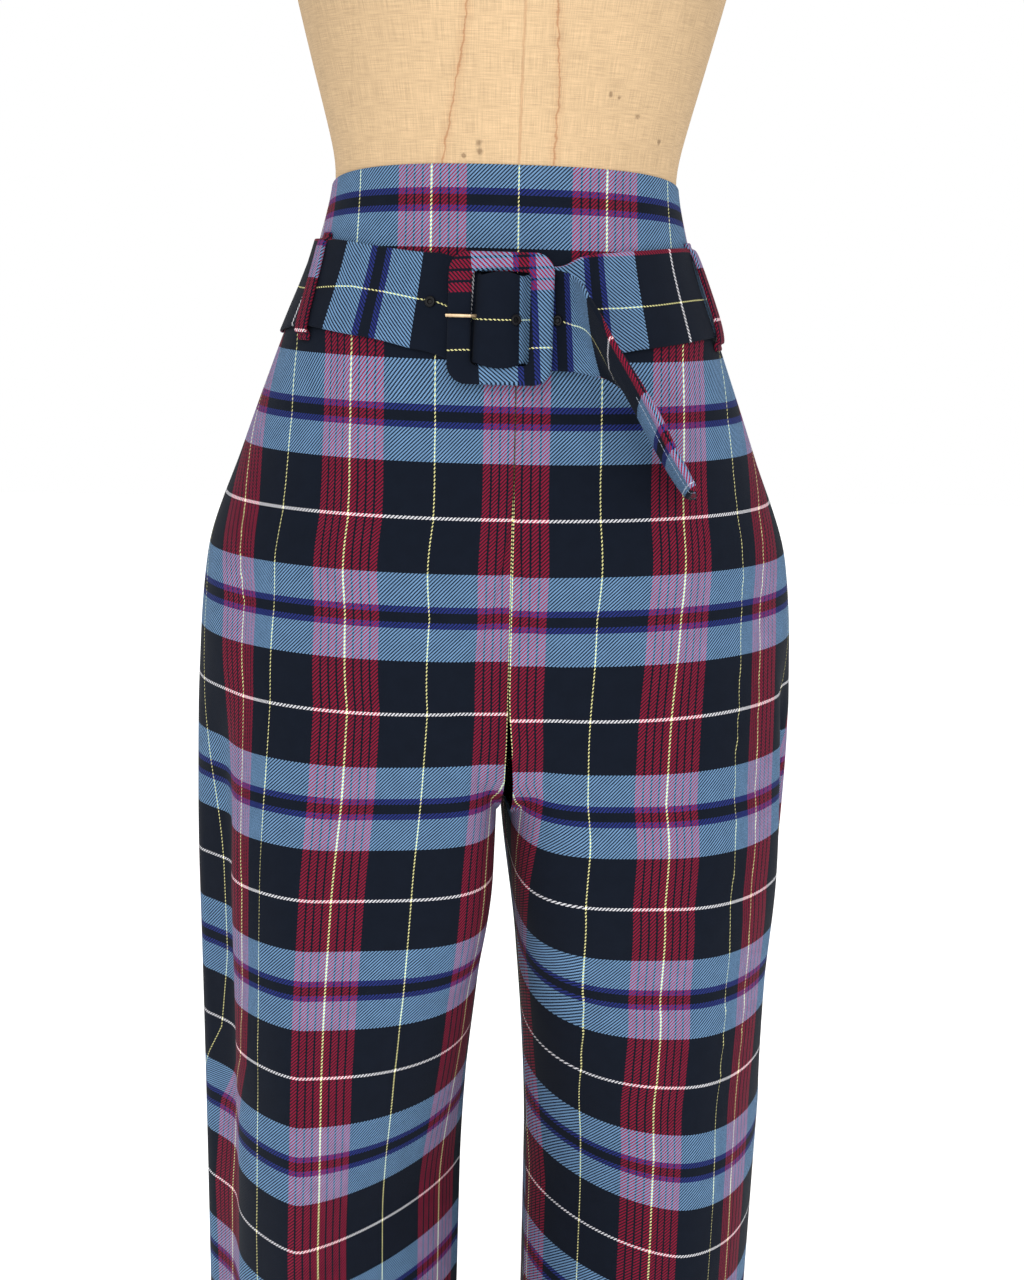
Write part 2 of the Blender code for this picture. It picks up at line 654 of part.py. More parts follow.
def build():
    clear_scene()
    coll = collection("Tartan trousers on dress form")
    cutters = collection("Cutters")
    tartan = material("tartan twill", (.10, .17, .30), .85)
    linen = material("linen", (.75, .55, .34), .9)
    steel = material("black steel", (.03, .03, .03), .5, .6)
    wood = material("dark wood", (.10, .05, .03), .5)
    brass = material("brass", (.70, .50, .22), .35, 1.0)
    black = material("black enamel", (.02, .02, .02), .6)

    for half in (-1, 1):
        leg_panel(half, "front", tartan, coll)
        leg_panel(half, "back", tartan, coll)
    for panel in ("front", "back"):
        waistband(panel, tartan, coll)

    grid = belt_grid()
    belt = cloth_wall("belt", grid, BELT_CLOTH, tartan, coll, True)
    hole = belt.modifiers.new("prong hole", "BOOLEAN")
    hole.object = prong_slot(cutters)
    hole.operation = "DIFFERENCE"
    buckle_frame(tartan, coll)
    buckle_bar(steel, coll)
    wire("prong", prong_points(), PRONG_RADIUS, brass, coll)
    bends_start = len(grid[0]) - len(TAIL) - len(FREE_END_BENDS)
    for name, column in EYELETS:
        eyelet(name, grid, (len(grid) - 1) / 2, bends_start + column, black, coll)
    belt_loop("belt_loop_right", -LOOP_U, tartan, coll)
    belt_loop("belt_loop_left", LOOP_U, tartan, coll)
    belt_loop("belt_loop_back", waist_length() / 2, tartan, coll)

    form_torso(linen, coll)
    cylinder("form_pole", POLE_RADIUS, BASE_THICK, TORSO_BOTTOM_Z - SEAM_GAP, POLE_X, 0, 20, steel, coll)
    cylinder("form_base", BASE_RADIUS, 0, BASE_THICK - SEAM_GAP, 0, 0, 64, wood, coll)


build()
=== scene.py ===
"""Tartan trousers with their own belt, worn on a limbless linen dress form.

Metres, +Z up, front towards -Y. Sides are the wearer's: half -1 is the right, at -X, and half +1 the left.
"""
import math
from collections import namedtuple

import bmesh
import bpy
import numpy as np
from mathutils import Matrix, Vector


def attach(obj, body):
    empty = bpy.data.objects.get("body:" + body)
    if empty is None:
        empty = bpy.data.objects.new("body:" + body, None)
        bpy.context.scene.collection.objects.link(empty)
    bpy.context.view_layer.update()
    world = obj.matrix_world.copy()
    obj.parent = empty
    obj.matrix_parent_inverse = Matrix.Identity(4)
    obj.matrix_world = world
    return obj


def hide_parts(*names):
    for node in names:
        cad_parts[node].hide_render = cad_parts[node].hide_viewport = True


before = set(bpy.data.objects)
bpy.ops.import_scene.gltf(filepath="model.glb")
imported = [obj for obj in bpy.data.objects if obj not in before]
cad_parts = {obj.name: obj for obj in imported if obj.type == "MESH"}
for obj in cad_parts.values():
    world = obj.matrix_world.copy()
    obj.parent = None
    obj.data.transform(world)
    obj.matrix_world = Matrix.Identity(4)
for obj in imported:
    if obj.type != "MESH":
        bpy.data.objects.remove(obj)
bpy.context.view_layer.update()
scene = bpy.context.scene
bpy.ops.object.select_all(action="DESELECT")

# Camera: at the height of the waistband, looking down the legs, turned slightly to the wearer's left and
# leaning a little.
CAMERA_EYE = (-0.0850, -1.0466, 1.100)
CAMERA_LENS = 43.45
CAMERA_YAW = math.radians(-5.3)
CAMERA_PITCH = math.radians(14.0)
CAMERA_ROLL = math.radians(1.6)

forward = Vector((-math.sin(CAMERA_YAW) * math.cos(CAMERA_PITCH),
                  math.cos(CAMERA_YAW) * math.cos(CAMERA_PITCH), -math.sin(CAMERA_PITCH)))
level = Vector((math.cos(CAMERA_YAW), math.sin(CAMERA_YAW), 0))
above = level.cross(forward)
camera_x = level * math.cos(CAMERA_ROLL) + above * math.sin(CAMERA_ROLL)
camera_y = above * math.cos(CAMERA_ROLL) - level * math.sin(CAMERA_ROLL)
lens = bpy.data.cameras.new("camera")
lens.lens = CAMERA_LENS
lens.sensor_width = 36
camera = bpy.data.objects.new("camera", lens)
turn = Matrix((camera_x, camera_y, -forward)).transposed().to_4x4()
camera.matrix_world = Matrix.Translation(CAMERA_EYE) @ turn
scene.collection.objects.link(camera)
scene.camera = camera

# Studio: a white floor in even white light, with one large soft lamp in front of the form and a weaker one
# at its left.
LAMPS = [
    ("front lamp", (-0.5, -2.6, 2.3), (0, 0, 0.95), 2.2, 40.0),
    ("side lamp", (2.4, -1.2, 1.8), (0, 0, 0.9), 1.6, 8.0),
]
FLOOR_SIZE = 12
FLOOR_ROUGH = 0.9
FLOOR_GLOW = 0.3


def set_sockets(node, values):
    """Gives a node's sockets their values, by the sockets' names."""
    for name, value in values.items():
        node.inputs[name].default_value = value


def new_material(name, colour, roughness, more=None):
    """A material, its node tree and its shader, with values for more of the shader's sockets if given."""
    made = bpy.data.materials.new(name)
    made.use_nodes = True
    shader = made.node_tree.nodes["Principled BSDF"]
    set_sockets(shader, {"Base Color": (*colour, 1), "Roughness": roughness, **(more or {})})
    return made, made.node_tree, shader


def give_material(piece, mat):
    piece.data.materials.clear()
    piece.data.materials.append(mat)


scene.view_settings.view_transform = "Standard"
world = bpy.data.worlds.new("studio")
world.use_nodes = True
set_sockets(world.node_tree.nodes["Background"], {"Color": (1, 1, 1, 1), "Strength": 1.0})
scene.world = world
for lamp_name, place, target, size, power in LAMPS:
    lamp = bpy.data.lights.new(lamp_name, "AREA")
    lamp.size = size
    lamp.energy = power
    holder = bpy.data.objects.new(lamp_name, lamp)
    aim = (Vector(target) - Vector(place)).to_track_quat("-Z", "Y").to_matrix().to_4x4()
    holder.matrix_world = Matrix.Translation(place) @ aim
    scene.collection.objects.link(holder)
bpy.ops.mesh.primitive_plane_add(size=FLOOR_SIZE)
floor = bpy.context.object
floor.name = "floor"
floor_paint, _, _ = new_material("floor paint", (1, 1, 1), FLOOR_ROUGH,
                                 {"Emission Color": (1, 1, 1, 1), "Emission Strength": FLOOR_GLOW})
give_material(floor, floor_paint)

# Base: a turned disc of dark stained wood with a rounded edge and a shallow groove near its rim, and a steel
# socket screwed to its top for the pole.
BASE_RADIUS = 0.200
BASE_THICK = 0.016
BASE_CLEAR = 0.0003
BASE_ROUND = 0.004
GROOVE_IN = 0.018
GROOVE_WIDE = 0.005
GROOVE_DEEP = 0.0015
SOCKET_RADIUS = 0.036
SOCKET_THICK = 0.003
SOCKET_NECK = 0.019
SOCKET_HIGH = 0.018
POLE_X = -0.108
BASE_ROUGH = 0.42
GRAIN_STRETCH = (4, 60, 60)
GRAIN_DARK = (.035, .016, .010, 1)
GRAIN_LIGHT = (.17, .085, .045, 1)
SMOOTH_UNDER = math.radians(35)
ROUND_OVER = math.radians(40)


def mix_colour(tree, share, first, second, blend="MIX"):
    made = tree.nodes.new("ShaderNodeMix")
    made.data_type = "RGBA"
    made.blend_type = blend
    for socket, value in ((made.inputs[0], share), (made.inputs[6], first), (made.inputs[7], second)):
        if isinstance(value, (int, float, tuple)):
            socket.default_value = value
        else:
            tree.links.new(value, socket)
    return made.outputs[2]


def object_place(tree):
    return tree.nodes.new("ShaderNodeTexCoord").outputs["Object"]


def stretched(tree, source, scale):
    """Places stretched by a factor each way, for a grain that runs along one of them."""
    made = tree.nodes.new("ShaderNodeMapping")
    made.inputs["Scale"].default_value = scale
    tree.links.new(source, made.inputs["Vector"])
    return made.outputs[0]


def noise(tree, source, scale, detail=2.0):
    made = tree.nodes.new("ShaderNodeTexNoise")
    set_sockets(made, {"Scale": scale, "Detail": detail})
    tree.links.new(source, made.inputs["Vector"])
    return made.outputs[0]


def relief(tree, shader, height, distance, strength, under=None):
    made = tree.nodes.new("ShaderNodeBump")
    set_sockets(made, {"Strength": strength, "Distance": distance})
    tree.links.new(height, made.inputs["Height"])
    if under is not None:
        tree.links.new(under, made.inputs["Normal"])
    tree.links.new(made.outputs[0], shader.inputs["Normal"])
    return made.outputs[0]


def add_modifier(piece, name, kind, **values):
    """Puts a modifier with its settings on a piece."""
    made = piece.modifiers.new(name, kind)
    for setting, value in values.items():
        setattr(made, setting, value)
    return made


def start_edit(piece, wanted=None):
    """Goes into edit mode with only the wanted faces selected, or all of them."""
    bpy.ops.object.select_all(action="DESELECT")
    piece.select_set(True)
    bpy.context.view_layer.objects.active = piece
    bpy.ops.object.mode_set(mode="EDIT")
    bpy.ops.mesh.select_mode(type="FACE")
    bpy.ops.mesh.select_all(action="SELECT" if wanted is None else "DESELECT")
    if wanted is not None:
        bm = bmesh.from_edit_mesh(piece.data)
        for face in bm.faces:
            face.select_set(bool(wanted(face)))
        bmesh.update_edit_mesh(piece.data)


def finish_shape(piece, name, mat, round_by=0.0):
    """Leaves edit mode, rounds the edges, puts the piece's place in its mesh and gives it its material."""
    bpy.ops.object.mode_set(mode="OBJECT")
    piece.name = name
    bpy.ops.object.select_all(action="DESELECT")
    piece.select_set(True)
    bpy.context.view_layer.objects.active = piece
    bpy.ops.object.transform_apply(location=True, rotation=True, scale=True)
    if round_by:
        soft = add_modifier(piece, "rounded edges", "BEVEL", width=round_by, segments=3, limit_method="ANGLE",
                            angle_limit=ROUND_OVER)
        bpy.ops.object.modifier_apply(modifier=soft.name)
    bpy.ops.object.shade_smooth_by_angle(angle=SMOOTH_UNDER)
    give_material(piece, mat)
    piece.select_set(False)


wood, tree, shader = new_material("dark stained wood", (.10, .05, .03), BASE_ROUGH)
grain = noise(tree, stretched(tree, object_place(tree), GRAIN_STRETCH), 1.0, 5.0)
tree.links.new(mix_colour(tree, grain, GRAIN_DARK, GRAIN_LIGHT), shader.inputs["Base Color"])
relief(tree, shader, grain, 0.0003, 0.3)

bpy.ops.mesh.primitive_cylinder_add(vertices=96, radius=BASE_RADIUS, depth=BASE_THICK - BASE_CLEAR,
                                    location=(0, 0, (BASE_THICK - BASE_CLEAR) / 2))
base_disc = bpy.context.object
start_edit(base_disc, lambda face: face.normal.z > 0.9)
bpy.ops.mesh.inset(thickness=GROOVE_IN)
bpy.ops.mesh.inset(thickness=GROOVE_WIDE / 2)
bpy.ops.transform.translate(value=(0, 0, -GROOVE_DEEP))
bpy.ops.mesh.inset(thickness=GROOVE_WIDE / 2)
bpy.ops.transform.translate(value=(0, 0, GROOVE_DEEP))
finish_shape(base_disc, "base_disc", wood, BASE_ROUND)
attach(base_disc, "root")
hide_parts("form_base")

black_steel, tree, shader = new_material("black painted steel", (.012, .012, .013), 0.42)
relief(tree, shader, noise(tree, object_place(tree), 900), 0.0001, 0.15)
bpy.ops.mesh.primitive_cylinder_add(vertices=48, radius=SOCKET_RADIUS, depth=SOCKET_THICK,
                                    location=(POLE_X, 0, BASE_THICK + SOCKET_THICK / 2))
pole_socket = bpy.context.object
start_edit(pole_socket, lambda face: face.normal.z > 0.9)
bpy.ops.mesh.inset(thickness=SOCKET_RADIUS - SOCKET_NECK)
bpy.ops.mesh.extrude_region_move(TRANSFORM_OT_translate={"value": (0, 0, SOCKET_HIGH)})
finish_shape(pole_socket, "pole_socket", black_steel, 0.0012)
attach(pole_socket, "root")

# Pole: a plain steel tube, painted black, that runs up inside the right leg to the form.
give_material(bpy.data.objects["form_pole"], black_steel)

# Dress form: a papier-mache body padded and covered with tan linen, seamed down the centre and at the side
# fronts. Old damp has left thin brown edges and a few specks on the cloth.
FORM_SWELL = 0.0009
FORM_GIRTH = 0.13
FORM_MERGE = 0.00005
FORM_QUADS_UNDER = math.radians(50)
FORM_CREASE_OVER = math.radians(50)
FORM_CREASE = 0.9
LINEN = (.545, .383, .222)
LINEN_THREAD = 0.00055
# How much the slubs, the weave and larger patches each change the cloth's tone, and the tone without them.
# The weave's part is painted light and shade: lighter on the threads' crests, darker between them
SLUB_TONE = (1.10, 0.45)
WEAVE_PAINTED_SHADING = (0.80, 0.80)
PATCH_TONE = (0.16, 0.92)
SLUB_STRETCHES = ((1800, 60, 1), (60, 1800, 1))
PATCH_SCALE = 22
# How light the cloth is, by the distance from the middle: painted shade, darker towards the sides where the
# form turns away from the light
SIDE_PAINTED_SHADE = [(0, 1.04), (.050, 1.00), (.085, .94), (.120, .82)]
SEAM_X = [(1.14, .1020), (1.24, .0990), (1.33, .0960), (1.45, .0800)]
# Drawn lines: full as far as inner from their middle, gone at outer, and how much they show
Mark = namedtuple("Mark", "inner outer shows")
MIDDLE_SEAM_MARK = Mark(0.0003, 0.0013, 0.42)
STAIN_LINE = Mark(0.0002, 0.0011, 0.90)
STAIN_HALO = Mark(0.0008, 0.0050, 0.22)
SIDE_SEAM_DENT = (0.0002, 0.0012)
MIDDLE_SEAM_DENT = (0.0002, 0.0010)
STAIN = (.33, .140, .060, 1)
STAIN_SHOWS = 0.75
SPECK = (.10, .055, .030, 1)
SPECK_SHOWS = 0.55
SPECK_CORE = 0.1
# How far stains wander off their lines, as noise times the first value plus the second
RAGGED = (0.0050, -0.0025)
RAGGED_SCALE = 190
SEAM_RAGGED = 0.4
SPECK_RAGGED = 1.6
# Stain edges, one list for each: heights and x along them
STAIN_EDGES = [
    [(1.120, -.0480), (1.1632, -.0440), (1.2105, -.0360), (1.2405, -.0329), (1.320, -.0300)],
    [(1.120, .0200), (1.1549, .0210), (1.1966, .0224), (1.2422, .0186), (1.320, .0150)],
]
# Specks: x, height and size of each
SPECKS = [(-.0240, 1.1640, .0022), (-.0232, 1.1590, .0020), (-.0330, 1.1560, .0014), (.0534, 1.1940, .0011),
          (.0590, 1.1925, .0011), (.0719, 1.1820, .0016), (.0886, 1.1700, .0016)]

bpy.ops.object.select_all(action="DESELECT")
form_solid = bpy.data.objects["form_torso"]
linen_cover = form_solid.copy()
linen_cover.data = form_solid.data.copy()
scene.collection.objects.link(linen_cover)
start_edit(linen_cover)
bpy.ops.mesh.remove_doubles(threshold=FORM_MERGE)
bpy.ops.mesh.tris_convert_to_quads(face_threshold=FORM_QUADS_UNDER, shape_threshold=FORM_QUADS_UNDER)
bm = bmesh.from_edit_mesh(linen_cover.data)
creases = bm.edges.layers.float.new("crease_edge")
for edge in bm.edges:
    if edge.is_manifold and edge.calc_face_angle() > FORM_CREASE_OVER:
        edge[creases] = FORM_CREASE
bmesh.update_edit_mesh(linen_cover.data)
bpy.ops.object.mode_set(mode="OBJECT")
swell = add_modifier(linen_cover, "padding", "DISPLACE", strength=FORM_SWELL, mid_level=0)
bpy.ops.object.modifier_apply(modifier=swell.name)
rounding = add_modifier(linen_cover, "rounding", "SUBSURF", levels=2, render_levels=2)
bpy.ops.object.modifier_apply(modifier=rounding.name)
linen_cover.name = "linen_cover"
linen_cover.data.shade_smooth()
form_places = linen_cover.data.uv_layers.new(name="linen")
for face in linen_cover.data.polygons:
    turns = []
    for corner in face.loop_indices:
        x, y, z = linen_cover.data.vertices[linen_cover.data.loops[corner].vertex_index].co
        turns.append((math.atan2(x, -y), z))
    if max(t[0] for t in turns) - min(t[0] for t in turns) > math.pi:
        turns = [(t[0] + 2 * math.pi if t[0] < 0 else t[0], t[1]) for t in turns]
    for corner, (turned, z) in zip(face.loop_indices, turns):
        form_places.data[corner].uv = (turned * FORM_GIRTH, z)


def math_node(tree, operation, first, second=None, third=None):
    made = tree.nodes.new("ShaderNodeMath")
    made.operation = operation
    for socket, value in zip(made.inputs, (first, second, third)):
        if isinstance(value, (int, float)):
            socket.default_value = value
        elif value is not None:
            tree.links.new(value, socket)
    return made.outputs[0]


def plus(tree, first, second):
    return math_node(tree, "ADD", first, second)


def minus(tree, first, second):
    return math_node(tree, "SUBTRACT", first, second)


def times(tree, first, second):
    return math_node(tree, "MULTIPLY", first, second)


def more_of(tree, first, second):
    return math_node(tree, "MAXIMUM", first, second)


def apart(tree, first, second):
    """How far apart two values are."""
    return math_node(tree, "ABSOLUTE", minus(tree, first, second))


def map_range(tree, source, *limits):
    """A value carried from one span, the first two limits, to another, the last two, and held at its ends."""
    made = tree.nodes.new("ShaderNodeMapRange")
    for socket, value in zip(made.inputs[1:5], limits):
        socket.default_value = value
    tree.links.new(source, made.inputs[0])
    return made.outputs[0]


def follow(tree, along, table):
    """A value that follows a table of places and values along one direction."""
    total = table[0][1]
    for (start, low), (end, high) in zip(table, table[1:]):
        total = plus(tree, map_range(tree, along, start, end, 0, high - low), total)
    return total


def near(tree, distance, inner, outer):
    """1 within the inner distance, fading to 0 at the outer one."""
    return map_range(tree, distance, inner, outer, 1, 0)


def drawn(tree, distance, mark):
    """How much a drawn line shows at a distance from its middle."""
    return times(tree, near(tree, distance, mark.inner, mark.outer), mark.shows)


def split(tree, source):
    made = tree.nodes.new("ShaderNodeSeparateXYZ")
    tree.links.new(source, made.inputs[0])
    return made.outputs


def uv_places(tree, name):
    """The places in a piece's UV map, and their two directions."""
    made = tree.nodes.new("ShaderNodeUVMap")
    made.uv_map = name
    return made.outputs[0], *split(tree, made.outputs[0])[:2]


def scaled(tree, colour, tone):
    made = tree.nodes.new("ShaderNodeVectorMath")
    made.operation = "SCALE"
    tree.links.new(colour, made.inputs[0])
    tree.links.new(tone, made.inputs["Scale"])
    return made.outputs[0]


def woven_height(tree, warp, weft, warp_over):
    """How high the round threads stand: those of the warp where it passes over, else those of the weft."""
    warp_round = times(tree, math_node(tree, "PINGPONG", warp, 0.5), warp_over)
    weft_round = times(tree, math_node(tree, "PINGPONG", weft, 0.5), minus(tree, 1.0, warp_over))
    return plus(tree, warp_round, weft_round)


linen, tree, shader = new_material("tan linen", LINEN, 0.85,
                                   {"Sheen Weight": 0.02, "Specular IOR Level": 0.12})
place = object_place(tree)
x, y, z = split(tree, place)
form_uv, round_form, up_form = uv_places(tree, "linen")
warp = math_node(tree, "DIVIDE", round_form, LINEN_THREAD)
weft = math_node(tree, "DIVIDE", up_form, LINEN_THREAD)
turns = plus(tree, math_node(tree, "FLOOR", warp), math_node(tree, "FLOOR", weft))
weave = woven_height(tree, warp, weft, math_node(tree, "FLOORED_MODULO", turns, 2))
slubs = [noise(tree, stretched(tree, form_uv, scale), 1.0, 1.0) for scale in SLUB_STRETCHES]
tone = math_node(tree, "MULTIPLY_ADD", times(tree, plus(tree, *slubs), 0.5), *SLUB_TONE)
# Painted light and shade from the weave's relief: lighter on the threads' crests, darker between them.
tone = times(tree, tone, math_node(tree, "MULTIPLY_ADD", weave, *WEAVE_PAINTED_SHADING))
tone = times(tree, tone, math_node(tree, "MULTIPLY_ADD", noise(tree, place, PATCH_SCALE, 3), *PATCH_TONE))
side = math_node(tree, "ABSOLUTE", x)
# Painted shade: the linen is darkened towards the form's sides.
tone = times(tree, tone, follow(tree, side, SIDE_PAINTED_SHADE))

at_front = math_node(tree, "LESS_THAN", y, 0)
ragged = math_node(tree, "MULTIPLY_ADD", noise(tree, place, RAGGED_SCALE, 3), *RAGGED)
off_seam = math_node(tree, "ABSOLUTE", math_node(tree, "MULTIPLY_ADD", ragged, SEAM_RAGGED, x))
marks = drawn(tree, off_seam, MIDDLE_SEAM_MARK)
for edge in STAIN_EDGES:
    away = apart(tree, plus(tree, x, ragged), follow(tree, z, edge))
    marks = more_of(tree, marks, more_of(tree, drawn(tree, away, STAIN_LINE), drawn(tree, away, STAIN_HALO)))
marks = times(tree, times(tree, marks, at_front), STAIN_SHOWS)
stained = mix_colour(tree, marks, (*LINEN, 1), STAIN)
soil = 0.0
for speck_x, speck_z, size in SPECKS:
    across, upward = minus(tree, x, speck_x), minus(tree, z, speck_z)
    away = math_node(tree, "SQRT", plus(tree, times(tree, across, across), times(tree, upward, upward)))
    away = plus(tree, away, times(tree, ragged, SPECK_RAGGED))
    soil = more_of(tree, soil, near(tree, away, size * SPECK_CORE, size))
soil = times(tree, times(tree, soil, at_front), SPECK_SHOWS)
stained = mix_colour(tree, soil, stained, SPECK)
tree.links.new(scaled(tree, stained, tone), shader.inputs["Base Color"])
woven_relief = relief(tree, shader, weave, 0.00012, 0.6)
side_seam = near(tree, apart(tree, side, follow(tree, z, SEAM_X)), *SIDE_SEAM_DENT)
pulled_in = minus(tree, 1.0, more_of(tree, side_seam, near(tree, side, *MIDDLE_SEAM_DENT)))
relief(tree, shader, pulled_in, 0.0006, 0.5, woven_relief)
give_material(linen_cover, linen)
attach(linen_cover, "root")
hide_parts("form_torso")

# Leg panels: two fronts and two backs of tartan twill, with plain seams down the centre, the sides and the
# inside legs, which end at the hem. Wide straight legs hang from the hips, and fall in a few long soft folds.
CLOTH = 0.0015
BAND_SEAM_Z = 1.068
FRONT_SPLIT_Z = 0.797
BACK_SPLIT_Z = 0.860
CROTCH_Z = 0.725
HEM_Z = 0.090
SEAM_GAP = 0.0003
SEAM_FLAT = 0.004
SOFT_EDGE_OVER = math.radians(60)
CENTRE_X = SEAM_GAP / 2
PANEL_COLUMNS = {"front": 78, "back": 60}
INNER_COLUMNS = 18
STEADY_SHARE = 0.92
CENTRE_SHARE = 0.985
SEAT_SQUARE = 2.2
FOLD_END = 0.97
FOLD_FADE = 0.12
HIP_ROWS = 32
SEAT_ROWS = 11
CROTCH_ROWS = 16
LEG_ROWS = 90

# One row for each height of a half: x of the side seam, of the front ridge and of the inner side, y of the
# front, back and side seam, and how square the outline is inside and outside the ridge and behind. The inseam
# lies at y = 0, and both halves are alike down to the hips.
Section = namedtuple("Section", "z outer ridge inner front back side_y n_in n_out n_back")
HIP_SECTIONS = [
    Section(1.154, .1117, .000, .000, -.0915, .0855, .000, 2.1, 2.10, 2.1),
    Section(1.106, .1210, .000, .000, -.099, .092, .000, 2.1, 2.10, 2.1),
    Section(1.045, .1450, .000, .000, -.108, .101, .000, 2.1, 2.10, 2.1),
]
SECTIONS = {
    -1: HIP_SECTIONS + [
        Section(.972, .1720, .000, .000, -.115, .112, .000, 2.1, 2.10, 2.1),
        Section(.900, .1965, .010, .000, -.118, .121, .000, 2.3, 2.10, 2.1),
        Section(.840, .2025, .040, .000, -.119, .123, .000, 3.0, 2.05, 2.1),
        Section(.780, .2050, .085, .000, -.118, .122, -.005, 5.0, 1.90, 2.1),
        Section(.690, .2060, .120, .001, -.116, .115, -.010, 5.0, 1.70, 2.2),
        Section(.600, .2055, .130, .008, -.116, .108, -.008, 3.0, 1.50, 2.2),
        Section(.426, .2050, .134, .017, -.116, .102, -.007, 1.35, 1.35, 2.1),
        Section(.090, .2050, .134, .018, -.116, .100, -.005, 1.35, 1.35, 2.0),
    ],
    1: HIP_SECTIONS + [
        Section(.972, .1735, .000, .000, -.115, .112, .000, 2.1, 2.10, 2.1),
        Section(.900, .2000, .010, .000, -.119, .121, .000, 2.3, 2.10, 2.1),
        Section(.840, .2070, .040, .000, -.122, .123, .000, 3.0, 2.05, 2.1),
        Section(.780, .2095, .080, .004, -.126, .122, -.005, 4.0, 2.00, 2.1),
        Section(.690, .2080, .112, .012, -.128, .115, -.010, 4.0, 2.00, 2.2),
        Section(.600, .2055, .122, .023, -.122, .108, -.008, 2.6, 1.90, 2.2),
        Section(.426, .2040, .132, .034, -.116, .102, -.007, 1.55, 1.90, 2.1),
        Section(.090, .2040, .132, .036, -.114, .100, -.005, 1.55, 1.80, 2.0),
    ],
}

# One row for each fold: where it runs between ridge (0) and side seam (1), the heights between which it comes
# in and goes out, how far it stands out or sinks in, and its width.
Fold = namedtuple("Fold", "half panel place z_top z_full z_low z_end depth width")
FOLDS = [
    Fold(-1, "front", .70, .860, .700, .700, .050, -.015, .024),
    Fold(1, "front", .80, .860, .720, .620, .500, -.020, .016),
    Fold(-1, "back", .45, .700, .500, .200, .000, -.012, .030),
    Fold(1, "back", .50, .720, .520, .200, .000, -.013, .030),
]

# The tartan's check, in metres from its middle lines: a red band with three black lines a side and a pale
# line in the warp, and light blue, navy and black bands with a white line in the weft.
WARP_HALF = 0.0528
WEFT_HALF = 0.06225
BLACK = (.0042, .0066, .0128)
RED = (.205, .0075, .027)
YELLOW = (.66, .62, .27)
LIGHT_BLUE = (.134, .250, .412)
NAVY = (.018, .028, .160)
WHITE = (.62, .61, .63)
WARP_STRIPES = [(0, YELLOW), (.0006, RED), (.0048, BLACK), (.0060, RED), (.0102, BLACK), (.0114, RED),
                (.0156, BLACK), (.0168, RED), (.0216, BLACK), (.0522, YELLOW)]
WEFT_BLUE_FROM = 0.0345
WEFT_STRIPES = [(0, WHITE), (.0009, BLACK), (WEFT_BLUE_FROM, LIGHT_BLUE), (.0550, NAVY), (.0590, BLACK)]

# Where the check lies on the fronts: x of its warp lines, half a repeat apart from the centre front outwards,
# at each height, and the heights of its weft, in metres down the cloth from the first white line. Above the
# hips the fifth warp line is round the side, half a repeat past the fourth.
WarpRow = namedtuple("WarpRow", "z first second third fourth fifth")
WARP_ROWS = {
    -1: [
        WarpRow(1.068, .0000, .0490, .0980, .1310, 1), WarpRow(1.040, .0000, .0486, .0991, .1338, 1),
        WarpRow(1.000, .0000, .0482, .0997, .1362, 1), WarpRow(.940, .0000, .0488, .1009, .1420, .1669),
        WarpRow(.880, .0000, .0503, .1024, .1475, .1669), WarpRow(.820, .0000, .0508, .1008, .1508, .1679),
        WarpRow(.760, .0035, .0543, .1043, .1543, .1693), WarpRow(.690, .0100, .0596, .1112, .1583, .1700),
        WarpRow(.620, .0170, .0641, .1154, .1603, .1704), WarpRow(.560, .0220, .0694, .1178, .1610, .1738),
        WarpRow(.500, .0280, .0738, .1189, .1622, .1807), WarpRow(.430, .0340, .0762, .1205, .1637, .1851),
        WarpRow(.090, .0350, .0770, .1215, .1650, .1860),
    ],
    1: [
        WarpRow(1.068, .0000, .0526, .1072, .1385, 1), WarpRow(1.040, .0000, .0528, .1077, .1400, 1),
        WarpRow(1.000, .0000, .0534, .1088, .1432, 1), WarpRow(.940, .0000, .0546, .1096, .1500, .1680),
        WarpRow(.880, .0000, .0541, .1098, .1539, .1680), WarpRow(.820, .0000, .0517, .1049, .1539, .1691),
        WarpRow(.760, .0063, .0521, .1024, .1512, .1667), WarpRow(.690, .0132, .0536, .1050, .1511, .1659),
        WarpRow(.620, .0200, .0567, .1061, .1530, .1679), WarpRow(.560, .0250, .0595, .1080, .1535, .1679),
        WarpRow(.500, .0300, .0632, .1098, .1536, .1679), WarpRow(.430, .0355, .0661, .1113, .1546, .1690),
        WarpRow(.090, .0370, .0670, .1120, .1550, .1700),
    ],
}
WEFT_ROWS = {
    -1: [(.040, -.8863), (.434, -.4980), (.566, -.3735), (.6925, -.2490), (.819, -.1245), (.9425, 0),
         (1.013, .0715), (1.0405, .0920), (1.068, .1170)],
    1: [(.040, -.8743), (.422, -.4980), (.556, -.3735), (.690, -.2490), (.816, -.1245), (.942, 0),
        (1.013, .0715), (1.0405, .0920), (1.068, .1170)],
}
# The left back's check hangs a little higher than the front's, more so down the leg
LEFT_BACK_RISE = [(.09, .030), (.69, .030), (.81, .006), (.95, .000)]
BACK_SIDE_WARP = 0.262
CENTRE_WARP_FROM = 0.775


def smooth(t):
    t = np.clip(t, 0, 1)
    return t * t * (3 - 2 * t)


def between(t, start, start_slope, end, end_slope):
    """A smooth curve from one value to the next, with the slopes given."""
    return ((2 * t**3 - 3 * t**2 + 1) * start + (t**3 - 2 * t**2 + t) * start_slope
            + (3 * t**2 - 2 * t**3) * end + (t**3 - t**2) * end_slope)


